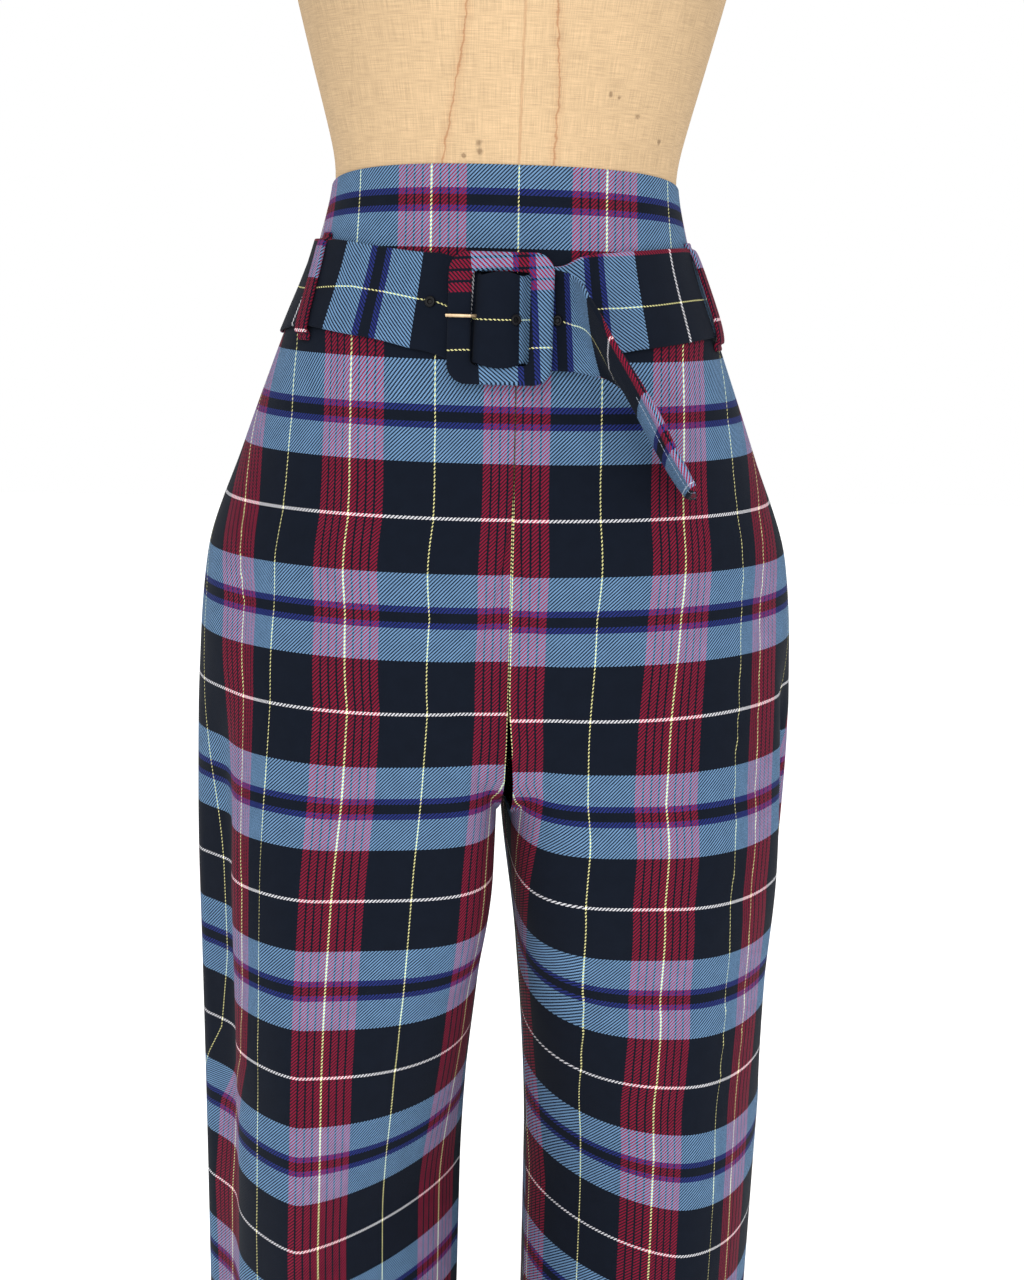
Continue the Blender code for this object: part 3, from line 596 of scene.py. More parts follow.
def read_table(rows, z):
    """The row of sizes at a height, on a smooth curve through the table's rows that never overshoots them."""
    values = np.array([list(r) for r in sorted(rows, key=lambda r: r[0])])
    zs = values[:, 0]
    i = int(np.clip(np.searchsorted(zs, z) - 1, 0, len(zs) - 2))
    step = zs[i + 1] - zs[i]

    def slope(j):
        if j in (0, len(zs) - 1):
            return np.zeros(values.shape[1])
        before = (values[j] - values[j - 1]) / (zs[j] - zs[j - 1])
        after = (values[j + 1] - values[j]) / (zs[j + 1] - zs[j])
        total = np.where(before * after > 0, before + after, 1.0)
        return np.where(before * after > 0, 2 * before * after / total, 0.0)

    t = (z - zs[i]) / step
    return type(rows[0])(*between(t, values[i], step * slope(i), values[i + 1], step * slope(i + 1)))


def quarter(top, side, n, count=160):
    """A quarter of a superellipse in plan, from its front or back point to its side point."""
    angle = np.linspace(0, math.pi / 2, count)
    x = top[0] + (side[0] - top[0]) * np.sin(angle) ** (2 / n)
    y = side[1] + (top[1] - side[1]) * np.cos(angle) ** (2 / n)
    return np.column_stack([x, y])


def arc_lengths(points):
    return np.concatenate([[0], np.cumsum(np.linalg.norm(np.diff(points, axis=0), axis=1))])


def spaced(points, count, start=0.0, end=0.0):
    """Points evenly spaced along a line, between a distance from its start and a distance from its end."""
    arc = arc_lengths(points)
    at = np.linspace(start, arc[-1] - end, count)
    return np.column_stack([np.interp(at, arc, points[:, k]) for k in range(points.shape[1])])


def outward(points, centre):
    """Unit normals of a line in plan, pointing away from a centre."""
    along = np.gradient(points, axis=0)
    normal = np.column_stack([along[:, 1], -along[:, 0]])
    normal /= np.linalg.norm(normal, axis=1)[:, None]
    if np.sum(normal * (points - centre)) < 0:
        normal = -normal
    return normal


def panel_line(half, panel, z):
    """Outer line of a panel at one height, from its centre seam or inseam to its side seam, x outward."""
    s = read_table(SECTIONS[half], z)
    at_front = panel == "front"
    depth = s.front if at_front else s.back
    split_z = FRONT_SPLIT_Z if at_front else BACK_SPLIT_Z
    n_in = s.n_in if at_front or z >= BACK_SPLIT_Z else max(s.n_in, SEAT_SQUARE)
    inner_x = max(s.inner, CENTRE_X)
    ridge = max(s.ridge if at_front else 0.5 * s.ridge, inner_x + SEAM_GAP)
    inner = quarter((ridge, depth), (inner_x, 0), n_in)[::-1]
    outer = quarter((ridge, depth), (s.outer, s.side_y), s.n_out if at_front else s.n_back)
    if z >= CROTCH_Z:
        t = min((z - CROTCH_Z) / (split_z - CROTCH_Z), 1)
        centre = depth * CENTRE_SHARE * math.sqrt(1 - (1 - t) ** 2)
        keep = inner[:, 1] < centre if at_front else inner[:, 1] > centre
        inner = np.vstack([[[inner_x, centre]], inner[keep]])
    outer = spaced(outer, 160)
    place = np.linspace(0, 1, len(outer))
    length = arc_lengths(outer)[-1]
    normal = outward(outer, np.array([ridge, s.side_y]))
    for fold in FOLDS:
        if (fold.half, fold.panel) == (half, panel):
            coming = smooth((fold.z_top - z) / (fold.z_top - fold.z_full))
            going = smooth((z - fold.z_end) / (fold.z_low - fold.z_end))
            bump = np.exp(-((place - fold.place) * length / fold.width) ** 2)
            ends = smooth((FOLD_END - place) / FOLD_FADE)
            outer = outer + normal * (fold.depth * coming * going * bump * ends)[:, None]
    return np.vstack([inner, outer[1:]])


def pressed_seam(line):
    """The line with its last few millimetres pressed straight along Y, so that two panels meet squarely."""
    end = line[-1]
    toward = math.copysign(1.0, line[-12, 1] - end[1])
    keep = (line[:, 1] - end[1]) * toward > SEAM_FLAT * 1.5
    last = np.flatnonzero(keep)[-1]
    flat = [[end[0], end[1] + toward * reach] for reach in (SEAM_FLAT, SEAM_FLAT / 2, .0009, SEAM_GAP / 2)]
    return line[:last + 1], np.array(flat)


def panel_row(half, panel, z, cols):
    """One row of a panel, with a pressed seam at the side, and at the inseam of a leg."""
    line, side = pressed_seam(panel_line(half, panel, z))
    ends = np.zeros((0, 2))
    if z < CROTCH_Z:
        line, inseam = pressed_seam(line[::-1])
        line = np.vstack([inseam[:1], line[::-1]])
        ends = inseam[:0:-1]
    line = np.vstack([line, side[:1]])
    length = arc_lengths(line)[-1]
    at_split = arc_lengths(panel_line(half, panel, FRONT_SPLIT_Z))[-1] - SEAM_FLAT
    steady = min(length, at_split) * STEADY_SHARE
    outer = spaced(line, cols - INNER_COLUMNS - 3, length - steady)
    inner = spaced(line, INNER_COLUMNS + 1 - len(ends), 0, steady)[:-1]
    return np.vstack([ends, inner, outer, side[1:]])


def from_side(half, warp_row):
    """Distances from the side seam to the warp lines of one row of the table."""
    line = panel_row(half, "front", warp_row.z, PANEL_COLUMNS["front"])
    arc = arc_lengths(line)
    reach = np.maximum.accumulate(line[:, 0]) + np.arange(len(line)) * 1e-9
    away = [arc[-1] - np.interp(x, reach, arc) for x in warp_row[1:-1]]
    if warp_row.fifth < reach[-1]:
        return away + [arc[-1] - np.interp(warp_row.fifth, reach, arc)]
    return away + [away[-1] - WARP_HALF]


warp_heights = [row.z for row in WARP_ROWS[-1]][::-1]
warp_away = {half: np.array([from_side(half, row) for row in WARP_ROWS[half]])[::-1] for half in (-1, 1)}


def warp_places(half, z, row):
    """How far round the check each point of a front's row lies, from the warp lines' places at its height."""
    away = [np.interp(z, warp_heights, warp_away[half][:, k]) for k in range(5)]
    arc = arc_lengths(row)
    known = [arc[-1] - a for a in away]
    known[0] *= 1 - float(smooth((z - CENTRE_WARP_FROM) / (FRONT_SPLIT_Z - CENTRE_WARP_FROM)))
    at = [known[0] - 1] + known + [known[-1] + 1]
    u = [-1] + [k * WARP_HALF for k in range(5)] + [4 * WARP_HALF + 1]
    return np.interp(arc, at, u)


def new_piece(name, mesh, mat):
    mesh.materials.append(mat)
    piece = bpy.data.objects.new(name, mesh)
    scene.collection.objects.link(piece)
    return piece


def cloth_sheet(name, grid, places, thick, mat, flip=False, edge=0.0004):
    """A cloth wall through rows of points, thickened behind its outer face, with the check as its UV."""
    rows, cols = len(grid), len(grid[0])
    faces = [(r * cols + c, r * cols + c + 1, (r + 1) * cols + c + 1, (r + 1) * cols + c)
             for r in range(rows - 1) for c in range(cols - 1)]
    if flip:
        faces = [face[::-1] for face in faces]
    mesh = bpy.data.meshes.new(name)
    mesh.from_pydata([tuple(p) for row in grid for p in row], [], faces)
    flat = [tuple(p) for row in places for p in row]
    layer = mesh.uv_layers.new(name="cloth")
    for loop in mesh.loops:
        layer.data[loop.index].uv = flat[loop.vertex_index]
    mesh.shade_smooth()
    piece = new_piece(name, mesh, mat)
    add_modifier(piece, "thickness", "SOLIDIFY", thickness=thick, offset=-1, use_even_offset=True,
                 use_quality_normals=True)
    add_modifier(piece, "soft edge", "BEVEL", width=edge, segments=2, limit_method="ANGLE",
                 angle_limit=SOFT_EDGE_OVER)
    return piece


def stripes(tree, source, table, half_repeat):
    """Colours of a run of stripes across the cloth, mirrored about its middle lines."""
    folded = math_node(tree, "PINGPONG", source, half_repeat)
    share = math_node(tree, "DIVIDE", folded, half_repeat)
    ramp = tree.nodes.new("ShaderNodeValToRGB")
    ramp.color_ramp.interpolation = "CONSTANT"
    for start, colour in table[1:]:
        ramp.color_ramp.elements.new(start / half_repeat).color = (*colour, 1)
    ramp.color_ramp.elements[0].color = (*table[0][1], 1)
    ramp.color_ramp.elements.remove(ramp.color_ramp.elements[-1])
    tree.links.new(share, ramp.inputs[0])
    return ramp.outputs["Color"]


# Tartan twill: warp and weft each pass over two threads and under two, one thread further on in each row,
# which draws fine diagonals that rise to the right
THREAD = 0.00060
TWILL_SHOW = 0.99
TWILL_BUMP = 0.00015
# How much wear changes the cloth's tone, and the tone without it
WEAR_TONE = (0.36, 0.82)
WEAR_SCALE = 90
WAVE_SCALE = 16
WAVE_BUMP = 0.0022
STITCH_IN = 0.0255
STITCH_FROM_END = 0.0030
STITCHED_LENGTH = 0.060
STITCH_STEP = 0.0028
STITCH_SHARE = 0.75
STITCH_HALF_WIDTH = 0.00035
STITCH_GROOVE = (0.0001, 0.0009)
STITCH_THREAD = (.40, .46, .55, 1)


def twill(name, stitched_end=None):
    """The tartan twill, with stitches round the end of a strip whose weft ends at the place given."""
    made, tree, shader = new_material(name, LIGHT_BLUE, 0.85, {"Sheen Weight": 0.015, "Sheen Roughness": 0.5,
                                                               "Specular IOR Level": 0.06})
    cloth_uv, across, along = uv_places(tree, "cloth")
    warp = stripes(tree, across, WARP_STRIPES, WARP_HALF)
    weft = stripes(tree, along, WEFT_STRIPES, WEFT_HALF)
    warp_thread = math_node(tree, "DIVIDE", across, THREAD)
    weft_thread = math_node(tree, "DIVIDE", along, THREAD)
    step_on = minus(tree, math_node(tree, "FLOOR", warp_thread), math_node(tree, "FLOOR", weft_thread))
    warp_over = math_node(tree, "LESS_THAN", math_node(tree, "FLOORED_MODULO", step_on, 4), 1.5)
    shown = math_node(tree, "MULTIPLY_ADD", warp_over, 2 * TWILL_SHOW - 1, 1 - TWILL_SHOW)
    bled = mix_colour(tree, 1.0, warp, weft, "MULTIPLY")
    woven = mix_colour(tree, 1.0, mix_colour(tree, shown, weft, warp), bled, "ADD")
    worn = math_node(tree, "MULTIPLY_ADD", noise(tree, cloth_uv, WEAR_SCALE, 3), *WEAR_TONE)
    colour = scaled(tree, woven, worn)
    height = woven_height(tree, warp_thread, weft_thread, warp_over)
    woven_relief = relief(tree, shader, height, TWILL_BUMP, 0.6)
    waves = relief(tree, shader, noise(tree, cloth_uv, WAVE_SCALE, 2), WAVE_BUMP, 0.5, woven_relief)
    if stitched_end is not None:
        from_end = minus(tree, along, stitched_end)
        off_row = apart(tree, apart(tree, across, WARP_HALF), STITCH_IN)
        off_rows = math_node(tree, "MINIMUM", off_row, apart(tree, from_end, STITCH_FROM_END))
        on_tail = math_node(tree, "LESS_THAN", from_end, STITCHED_LENGTH)
        groove = times(tree, near(tree, off_rows, *STITCH_GROOVE), on_tail)
        in_step = math_node(tree, "FLOORED_MODULO", plus(tree, along, across), STITCH_STEP)
        dash = math_node(tree, "LESS_THAN", in_step, STITCH_STEP * STITCH_SHARE)
        thread = times(tree, math_node(tree, "LESS_THAN", off_rows, STITCH_HALF_WIDTH), dash)
        colour = mix_colour(tree, times(tree, thread, on_tail), colour, STITCH_THREAD)
        relief(tree, shader, minus(tree, 1.0, groove), 0.0006, 0.5, waves)
    tree.links.new(colour, shader.inputs["Base Color"])
    return made


tartan = twill("tartan twill")
hips = np.linspace(BAND_SEAM_Z - SEAM_GAP, BACK_SPLIT_Z, HIP_ROWS)
seat = np.linspace(BACK_SPLIT_Z, FRONT_SPLIT_Z, SEAT_ROWS)[1:]
reach = np.linspace(0, 1, CROTCH_ROWS)[1:-1][::-1]
crotch = CROTCH_Z + (FRONT_SPLIT_Z - CROTCH_Z) * (1 - np.sqrt(1 - reach**2))
legs = np.linspace(CROTCH_Z - SEAM_FLAT / 2, HEM_Z, LEG_ROWS)
panel_heights = np.concatenate([hips, seat, crotch, legs])
for half, side in ((-1, "right"), (1, "left")):
    for panel, cols in PANEL_COLUMNS.items():
        grid, places = [], []
        for z in panel_heights:
            row = panel_row(half, panel, z, cols)
            rise = 0.0
            if panel == "front":
                u = warp_places(half, z, row)
            else:
                arc = arc_lengths(row)
                u = arc - arc[-1] + BACK_SIDE_WARP
                if half > 0:
                    rise = np.interp(z, *zip(*LEFT_BACK_RISE))
            v = np.interp(z - rise, *zip(*WEFT_ROWS[half]))
            grid.append([(half * x, y, z) for x, y in row])
            places.append([(half * at, v) for at in u])
        leg_panel = cloth_sheet(f"leg_panel_{panel}_{side}", grid, places, CLOTH, tartan,
                                (half > 0) == (panel == "front"))
        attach(leg_panel, "root")
        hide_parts(f"{panel}_{side}")

# Waistband: a separate faced band of the same twill, cut across the front and the back and seamed at the
# sides, with its folded edge at the top.
WAIST_TOP_Z = 1.152
BAND_SIDE_DROP = 0.012
BAND_SQUARE = 2.1
BAND_DEPTH = 0.084
BAND_WARP_START = {"front": 0.0528, "back": 0.0}
BAND_LEFT_STRETCH = 1.06
BAND_WEFT_TOP = -0.0415
BAND_ROWS = 22
BAND_COLUMNS = 90
BAND_EDGE = 0.0006


def waist_line(panel, z, out=0.0):
    """Line of the waist's front or back, from the right side seam to the left, moved out from the cloth."""
    halves = []
    for half in (-1, 1):
        s = read_table(SECTIONS[half], z)
        depth = s.front if panel == "front" else s.back
        line = quarter((0, depth), (s.outer, s.side_y), BAND_SQUARE)
        line[:, 0] *= half
        halves.append(line)
    line = np.vstack([halves[0][::-1], halves[1][1:]])
    return line + outward(line, np.zeros(2)) * out


for panel in ("front", "back"):
    grid, places = [], []
    for down in np.linspace(0, 1, BAND_ROWS):
        row, row_places = [], []
        for at in np.linspace(0, 1, BAND_COLUMNS):
            drop = BAND_SIDE_DROP * abs(2 * at - 1) ** 3
            z = (1 - down) * (WAIST_TOP_Z - drop) + down * BAND_SEAM_Z
            line = waist_line(panel, z)
            length = arc_lengths(line)[-1]
            x, y = spaced(line, 2, SEAM_GAP / 2 + at * (length - SEAM_GAP), 0)[0]
            row.append((x, y, z))
            round_front = (at - 0.5) * length
            if round_front > 0:
                round_front /= BAND_LEFT_STRETCH
            row_places.append((BAND_WARP_START[panel] + round_front, BAND_WEFT_TOP - down * BAND_DEPTH))
        grid.append(row)
        places.append(row_places)
    band = cloth_sheet(f"waistband_band_{panel}", grid, places, CLOTH, tartan, panel == "front", BAND_EDGE)
    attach(band, "root")
    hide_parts(f"waistband_{panel}")

# Belt: one stiffened strip of the twill cut along the warp, its dark band outside and its red bands turned to
# the back. It runs from the buckle's bar round the waist, over the bar again, and ends in a free squared
# tail, which is thicker towards its end.
BELT_CLOTH = 0.0022
BELT_OFF = 0.0010
BELT_COLUMNS = 64
BELT_LEAVE_LIFT = 0.0072
BELT_LEAVE_FROM = 0.024
BELT_LEAVE_OVER = 0.025
BELT_SIDE_LIFT = 0.0068
BELT_SIDE_FROM = 0.05
BELT_SIDE_OVER = 0.10
BUCKLE_Z = 1.0625
COLUMN_STEPS = 4
EDGE_STEPS = 6
BELT_ACROSS = 13
END_REACH = 0.7
END_NARROW = 0.6
LENGTH_STEPS = 400

# How the belt lies on both sides of the buckle: the distance round, how far it rides up, its width there, and
# how far its yellow line lies below its middle.
Seat = namedtuple("Seat", "u rise width line_down")
SEATS = [
    Seat(-.200, 0, .0610, 0), Seat(-.150, .0040, .0530, .0050), Seat(-.110, .0038, .0535, -.0010),
    Seat(-.080, .0038, .0535, -.0010), Seat(-.055, .0016, .0575, -.0008), Seat(-.030, 0, .0600, 0),
    Seat(.000, 0, .0610, 0), Seat(.030, .0010, .0605, .0010), Seat(.075, .0041, .0583, .0041),
    Seat(.150, .0027, .0555, .0044), Seat(.200, .0015, .0580, .0020), Seat(.250, 0, .0610, 0),
]
# How the belt bends at its two ends: the distance round, how far its back lies off the waist, and its width
Bend = namedtuple("Bend", "u off width")
FIXED_END_BENDS = [Bend(-.0095, .0032, .052), Bend(-.0030, .0020, .053), Bend(.0060, BELT_OFF, .056)]
FREE_END_BENDS = [
    Bend(-.0265, BELT_OFF, .0560), Bend(-.0242, .0058, .0515), Bend(-.0210, .0092, .0520),
    Bend(-.0160, .0108, .0545), Bend(-.0103, .0112, .0560), Bend(-.0045, .0104, .0550),
    Bend(.0010, .0078, .0515), Bend(.0040, .0050, .0510), Bend(.0066, .0034, .0530),
    Bend(.0140, .0036, .0570), Bend(.0226, .0048, .0590),
]

# One row for each station of the free tail: its upper and its lower edge, its thickness, how far its middle
# is bowed outwards, and how far its yellow line lies below its middle.
Tail = namedtuple("Tail", "top_x top_y top_z low_x low_y low_z thick bow line_down")
TAIL_BOW = np.array([-.85, 0, -.53])
TAIL = [
    Tail(.0300, -.1165, 1.0890, .0350, -.1155, 1.0325, .0024, .0000, .0006),
    Tail(.0332, -.1320, 1.0848, .0440, -.1155, 1.0305, .0026, .0005, -.0012),
    Tail(.0360, -.1470, 1.0768, .0510, -.1150, 1.0290, .0028, .0015, -.0030),
    Tail(.0417, -.1564, 1.0665, .0576, -.1140, 1.0265, .0030, .0030, -.0010),
    Tail(.0483, -.1620, 1.0535, .0650, -.1120, 1.0215, .0034, .0045, .0020),
    Tail(.0565, -.1617, 1.0412, .0730, -.1095, 1.0145, .0038, .0055, .0030),
    Tail(.0666, -.1599, 1.0265, .0815, -.1070, 1.0016, .0044, .0060, .0045),
    Tail(.0762, -.1565, 1.0118, .0907, -.1040, .9855, .0050, .0060, .0050),
    Tail(.0859, -.1535, .9943, .1005, -.1010, .9710, .0052, .0055, .0050),
    Tail(.0955, -.1515, .9785, .1075, -.0995, .9610, .0050, .0050, .0050),
    Tail(.1020, -.1505, .9680, .1140, -.0990, .9545, .0044, .0045, .0050),
]


def round_waist(z, out):
    """The whole way round the waist from the centre back, by the right side, the front and the left side."""
    front = waist_line("front", z, out)
    back = waist_line("back", z, out)
    middle = len(back) // 2
    return np.vstack([back[:middle + 1][::-1], front[1:], back[::-1][1:middle + 1]])


waist_length = arc_lengths(round_waist(BUCKLE_Z, BELT_OFF))[-1]


def on_waist(u, z, out):
    """A point on the waist at a distance round from the centre front, positive to the wearer's left."""
    line = round_waist(z, out)
    arc = arc_lengths(line)
    at = (0.5 + u / waist_length) % 1.0 * arc[-1]
    return (np.interp(at, arc, line[:, 0]), np.interp(at, arc, line[:, 1]), z)


def belt_middle(u):
    """Height of the belt's middle: lowest at the buckle, and highest at the sides and back."""
    away = abs((u / waist_length + 0.5) % 1.0 - 0.5) * waist_length
    beside = BELT_LEAVE_LIFT * float(smooth((away - BELT_LEAVE_FROM) / BELT_LEAVE_OVER))
    return BUCKLE_Z + beside + BELT_SIDE_LIFT * float(smooth((away - BELT_SIDE_FROM) / BELT_SIDE_OVER))


def belt_column(u, off, width, rise=0.0):
    middle = belt_middle(u) + rise
    return [on_waist(u, middle + k * width / 2, off + BELT_CLOTH) for k in (1, .5, 0, -.5, -1)]


def through(values, at):
    """Points on a smooth curve through evenly numbered ones."""
    slope = np.gradient(values, axis=0)
    i = np.clip(np.floor(at).astype(int), 0, len(values) - 2)
    t = (at - i).reshape((-1,) + (1,) * (values.ndim - 1))
    return between(t, values[i], slope[i], values[i + 1], slope[i + 1])


def unit(vectors):
    return vectors / np.linalg.norm(vectors, axis=-1, keepdims=True)


def sewn_piece(name, bm, mat):
    """A new piece from faces built by hand, turned to point outwards."""
    bmesh.ops.recalc_face_normals(bm, faces=bm.faces)
    mesh = bpy.data.meshes.new(name)
    bm.to_mesh(mesh)
    bm.free()
    return new_piece(name, mesh, mat)


def folded_strip(name, columns, thick, mat, warp_at, weft_at, across=9):
    """A folded strip of cloth through columns of points on its outer face, round at its edges, seamed behind.

    The check runs round the edges, as it does where the cloth is folded, to the seam along the strip's back.
    thick and warp_at have a value for each column, and weft_at turns a length along the strip into the
    check's.
    """
    columns = np.array(columns)
    at = np.linspace(0, len(columns) - 1, (len(columns) - 1) * COLUMN_STEPS + 1)
    fine = through(columns, at)
    radius = np.interp(at, np.arange(len(columns)), thick) / 2
    warp_mid = np.interp(at, np.arange(len(columns)), warp_at)
    rise = fine[:, 0] - fine[:, -1]
    width = np.linalg.norm(rise, axis=1)
    up = unit(rise)
    rows = np.arange(fine.shape[1])
    face = np.zeros((len(at), across, 3))
    for c in range(len(at)):
        steps = np.linspace(radius[c] / width[c], 1 - radius[c] / width[c], across) * rows[-1]
        for k in range(3):
            face[c, :, k] = np.interp(steps, rows, fine[c, :, k])
    run = np.gradient(face, axis=0)
    normal = unit(np.cross(run, np.broadcast_to(rise[:, None], run.shape)))
    lengths = arc_lengths(face[:, across // 2])
    turns = [math.pi * k / EDGE_STEPS for k in range(1, EDGE_STEPS)]
    rings, cores, before, after = [], [], [], []
    for c in range(len(at)):
        r, half = radius[c], width[c] / 2 - radius[c]
        core = face[c] - normal[c] * r
        steps = np.linspace(0, 2 * half, across)
        warps = half - steps
        ring = [(core[k] + normal[c, k] * r, core[k], warps[k], warps[k]) for k in range(across)]
        for a in turns:
            ring.append((core[-1] + normal[c, -1] * r * math.cos(a) - up[c] * r * math.sin(a), core[-1],
                         -half - r * a, -half - r * a))
        for k in range(across):
            under = -half - r * math.pi - steps[k]
            over = half + r * math.pi + steps[across - 1 - k]
            ring.append((core[across - 1 - k] - normal[c, across - 1 - k] * r, core[across - 1 - k],
                         under if k <= across // 2 else over, under if k < across // 2 else over))
        for a in turns[::-1]:
            ring.append((core[0] + normal[c, 0] * r * math.cos(a) + up[c] * r * math.sin(a), core[0],
                         half + r * a, half + r * a))
        rings.append([p[0] for p in ring])
        cores.append([p[1] for p in ring])
        before.append([warp_mid[c] + p[2] for p in ring])
        after.append([warp_mid[c] + p[3] for p in ring])
    for end, onward in ((0, -1), (-1, 1)):
        reach = unit(run[end, across // 2]) * onward * radius[end] * END_REACH
        closed = [p * END_NARROW + core * (1 - END_NARROW) + reach for p, core in zip(rings[end], cores[end])]
        at_end = len(rings) if onward > 0 else 0
        rings.insert(at_end, closed)
        cores.insert(at_end, cores[end])
        before.insert(at_end, before[end])
        after.insert(at_end, after[end])
    read_at = [lengths[0] - radius[0], *lengths, lengths[-1] + radius[-1]]
    weft = [weft_at(length) for length in read_at]
    size = len(rings[0])
    bm = bmesh.new()
    layer = bm.loops.layers.uv.new("cloth")
    verts = [[bm.verts.new(p) for p in ring] for ring in rings]
    for c in range(len(rings) - 1):
        for i in range(size):
            j = (i + 1) % size
            made = bm.faces.new([verts[c][i], verts[c][j], verts[c + 1][j], verts[c + 1][i]])
            made.smooth = True
            places = ((after[c][i], weft[c]), (before[c][j], weft[c]),
                      (before[c + 1][j], weft[c + 1]), (after[c + 1][i], weft[c + 1]))
            for loop, place in zip(made.loops, places):
                loop[layer].uv = place
    for c in (0, len(rings) - 1):
        made = bm.faces.new(verts[c])
        for loop, i in zip(made.loops, range(size)):
            loop[layer].uv = (before[c][i], weft[c])
    return sewn_piece(name, bm, mat), face, normal


def seat_at(u):
    u = u if u < waist_length / 2 else u - waist_length
    return [float(np.interp(u, [s.u for s in SEATS], [getattr(s, part) for s in SEATS]))
            for part in ("rise", "width", "line_down")]


belt_columns = [belt_column(b.u, b.off, b.width) for b in FIXED_END_BENDS]
lines_down = [0] * len(belt_columns)
last_u = waist_length + FREE_END_BENDS[0].u
for u in np.linspace(FIXED_END_BENDS[-1].u, last_u, BELT_COLUMNS)[1:-1]:
    rise, width, line_down = seat_at(u)
    belt_columns.append(belt_column(u, BELT_OFF, width, rise))
    lines_down.append(line_down)
bends_start = len(belt_columns)
belt_columns += [belt_column(b.u, b.off, b.width) for b in FREE_END_BENDS]
lines_down += [0] * len(FREE_END_BENDS) + [t.line_down for t in TAIL]
belt_thick = [BELT_CLOTH] * len(belt_columns) + [t.thick for t in TAIL]
for t in TAIL:
    top, low = np.array([t.top_x, t.top_y, t.top_z]), np.array([t.low_x, t.low_y, t.low_z])
    belt_columns.append([tuple(top + (low - top) * k + TAIL_BOW * t.bow * math.sin(math.pi * k))
                         for k in (0, .25, .5, .75, 1)])
belt_warp = [WARP_HALF + down for down in lines_down]
# The weft's place along the belt: the length at which it is read, and how far it runs ahead there. The
# lengths count from the belt's start, from once round the waist, and from where the tail's black band starts.
TAIL_AHEAD = 0.0032
TAIL_REPEATS = 7
TAIL_CHECK_AT = TAIL_REPEATS * 2 * WEFT_HALF - WEFT_BLUE_FROM - TAIL_AHEAD
BELT_AHEAD = [(start + at, ahead) for start, places in (
    (0, [(0, .0010), (.070, .0008), (.090, -.0025), (.130, -.0022), (.250, 0)]),
    (waist_length, [(-.140, .0090), (-.115, .0089), (-.090, .0057), (-.075, .0050), (-.045, .0030),
                    (-.022, .0046), (-.008, .0024), (.040, .0032)]),
    (TAIL_CHECK_AT, [(0, TAIL_AHEAD), (.020, .0180), (.060, .0180), (.110, .0140)]),
) for at, ahead in places]


def belt_weft(length):
    return -(length + float(np.interp(length, *zip(*BELT_AHEAD))))


belt_middles = through(np.array(belt_columns), np.linspace(0, len(belt_columns) - 1, LENGTH_STEPS))[:, 2]
belt_cloth = twill("belt twill", belt_weft(arc_lengths(belt_middles)[-1]))
belt, belt_face, belt_normal = folded_strip("belt_strip", belt_columns, belt_thick, belt_cloth, belt_warp,
                                            belt_weft, BELT_ACROSS)
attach(belt, "root")
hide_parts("belt")

# Buckle: an oblong frame covered in the twill, which is pulled over its rounded edges and glued behind. A
# black steel bar crosses its window, and a plain brass prong turns on the bar and rests on the side.
BUCKLE_X = -0.0103
BUCKLE_Y = -0.1100
BUCKLE_TILT = math.radians(6.3)
BUCKLE_LEAN = math.radians(8.4)
BUCKLE_WIDTH = 0.063
BUCKLE_HEIGHT = 0.078
BUCKLE_SIDE_BAR = 0.0140
BUCKLE_END_BAR = 0.0115
BUCKLE_THICK = 0.0055
COVER_THICK = 0.0066
BUCKLE_CORNER = 0.012
BUCKLE_WINDOW_CORNER = 0.0035
COVER_SQUARE = 2.9
SIDE_STEPS = 16
CORNER_STEPS = 8
COVER_STEPS = 28
BRASS_DULL = (.34, .23, .13, 1)
BRASS_BRIGHT = (.72, .56, .36, 1)
COVER_WARP = [(-.0400, .0337), (-.0199, .0528), (.0140, .0841), (.0204, .0895), (.0271, .0949),
              (.0343, .1003), (.0400, .1046)]
COVER_WEFT_TOP = [(-.0330, -.0200), (-.0183, -.0345), (.0065, -.0550), (.0097, -.0590), (.0162, -.0655),
                  (.0203, -.0695), (.0330, -.0822)]
COVER_WEFT_LOW = [(-.0330, -.0132), (-.0117, -.0345), (.0115, -.0550), (.0151, -.0590), (.0216, -.0655),
                  (.0252, -.0695), (.0330, -.0773)]
# The heights of those two lists, and how far the lists are carried past them
COVER_WEFT_AT = (.0330, -.0346)
COVER_WEFT_PAST = 0.2
# How steeply the warp's lines climb across the cover, and the x at which COVER_WARP's heights hold
COVER_SLOPE = 0.054
COVER_LEVEL_X = -0.036


def rounded_outline(width, height, corner):
    """Points of a rounded oblong, anticlockwise from the middle of its right side."""
    points = []
    for quadrant in range(4):
        cx = (width / 2 - corner) * (1 if quadrant in (0, 3) else -1)
        cy = (height / 2 - corner) * (1 if quadrant in (0, 1) else -1)
        for k in range(CORNER_STEPS + 1):
            angle = math.pi / 2 * (quadrant + k / CORNER_STEPS)
            points.append((cx + corner * math.cos(angle), cy + corner * math.sin(angle)))
        nx = (width / 2 - corner) * (1 if quadrant in (3, 2) else -1)
        ny = (height / 2 - corner) * (1 if quadrant in (3, 0) else -1)
        angle = math.pi / 2 * (quadrant + 1)
        start = np.array(points[-1])
        end = np.array((nx + corner * math.cos(angle), ny + corner * math.sin(angle)))
        points += [tuple(start + (end - start) * k / SIDE_STEPS) for k in range(1, SIDE_STEPS)]
    return np.array(points)


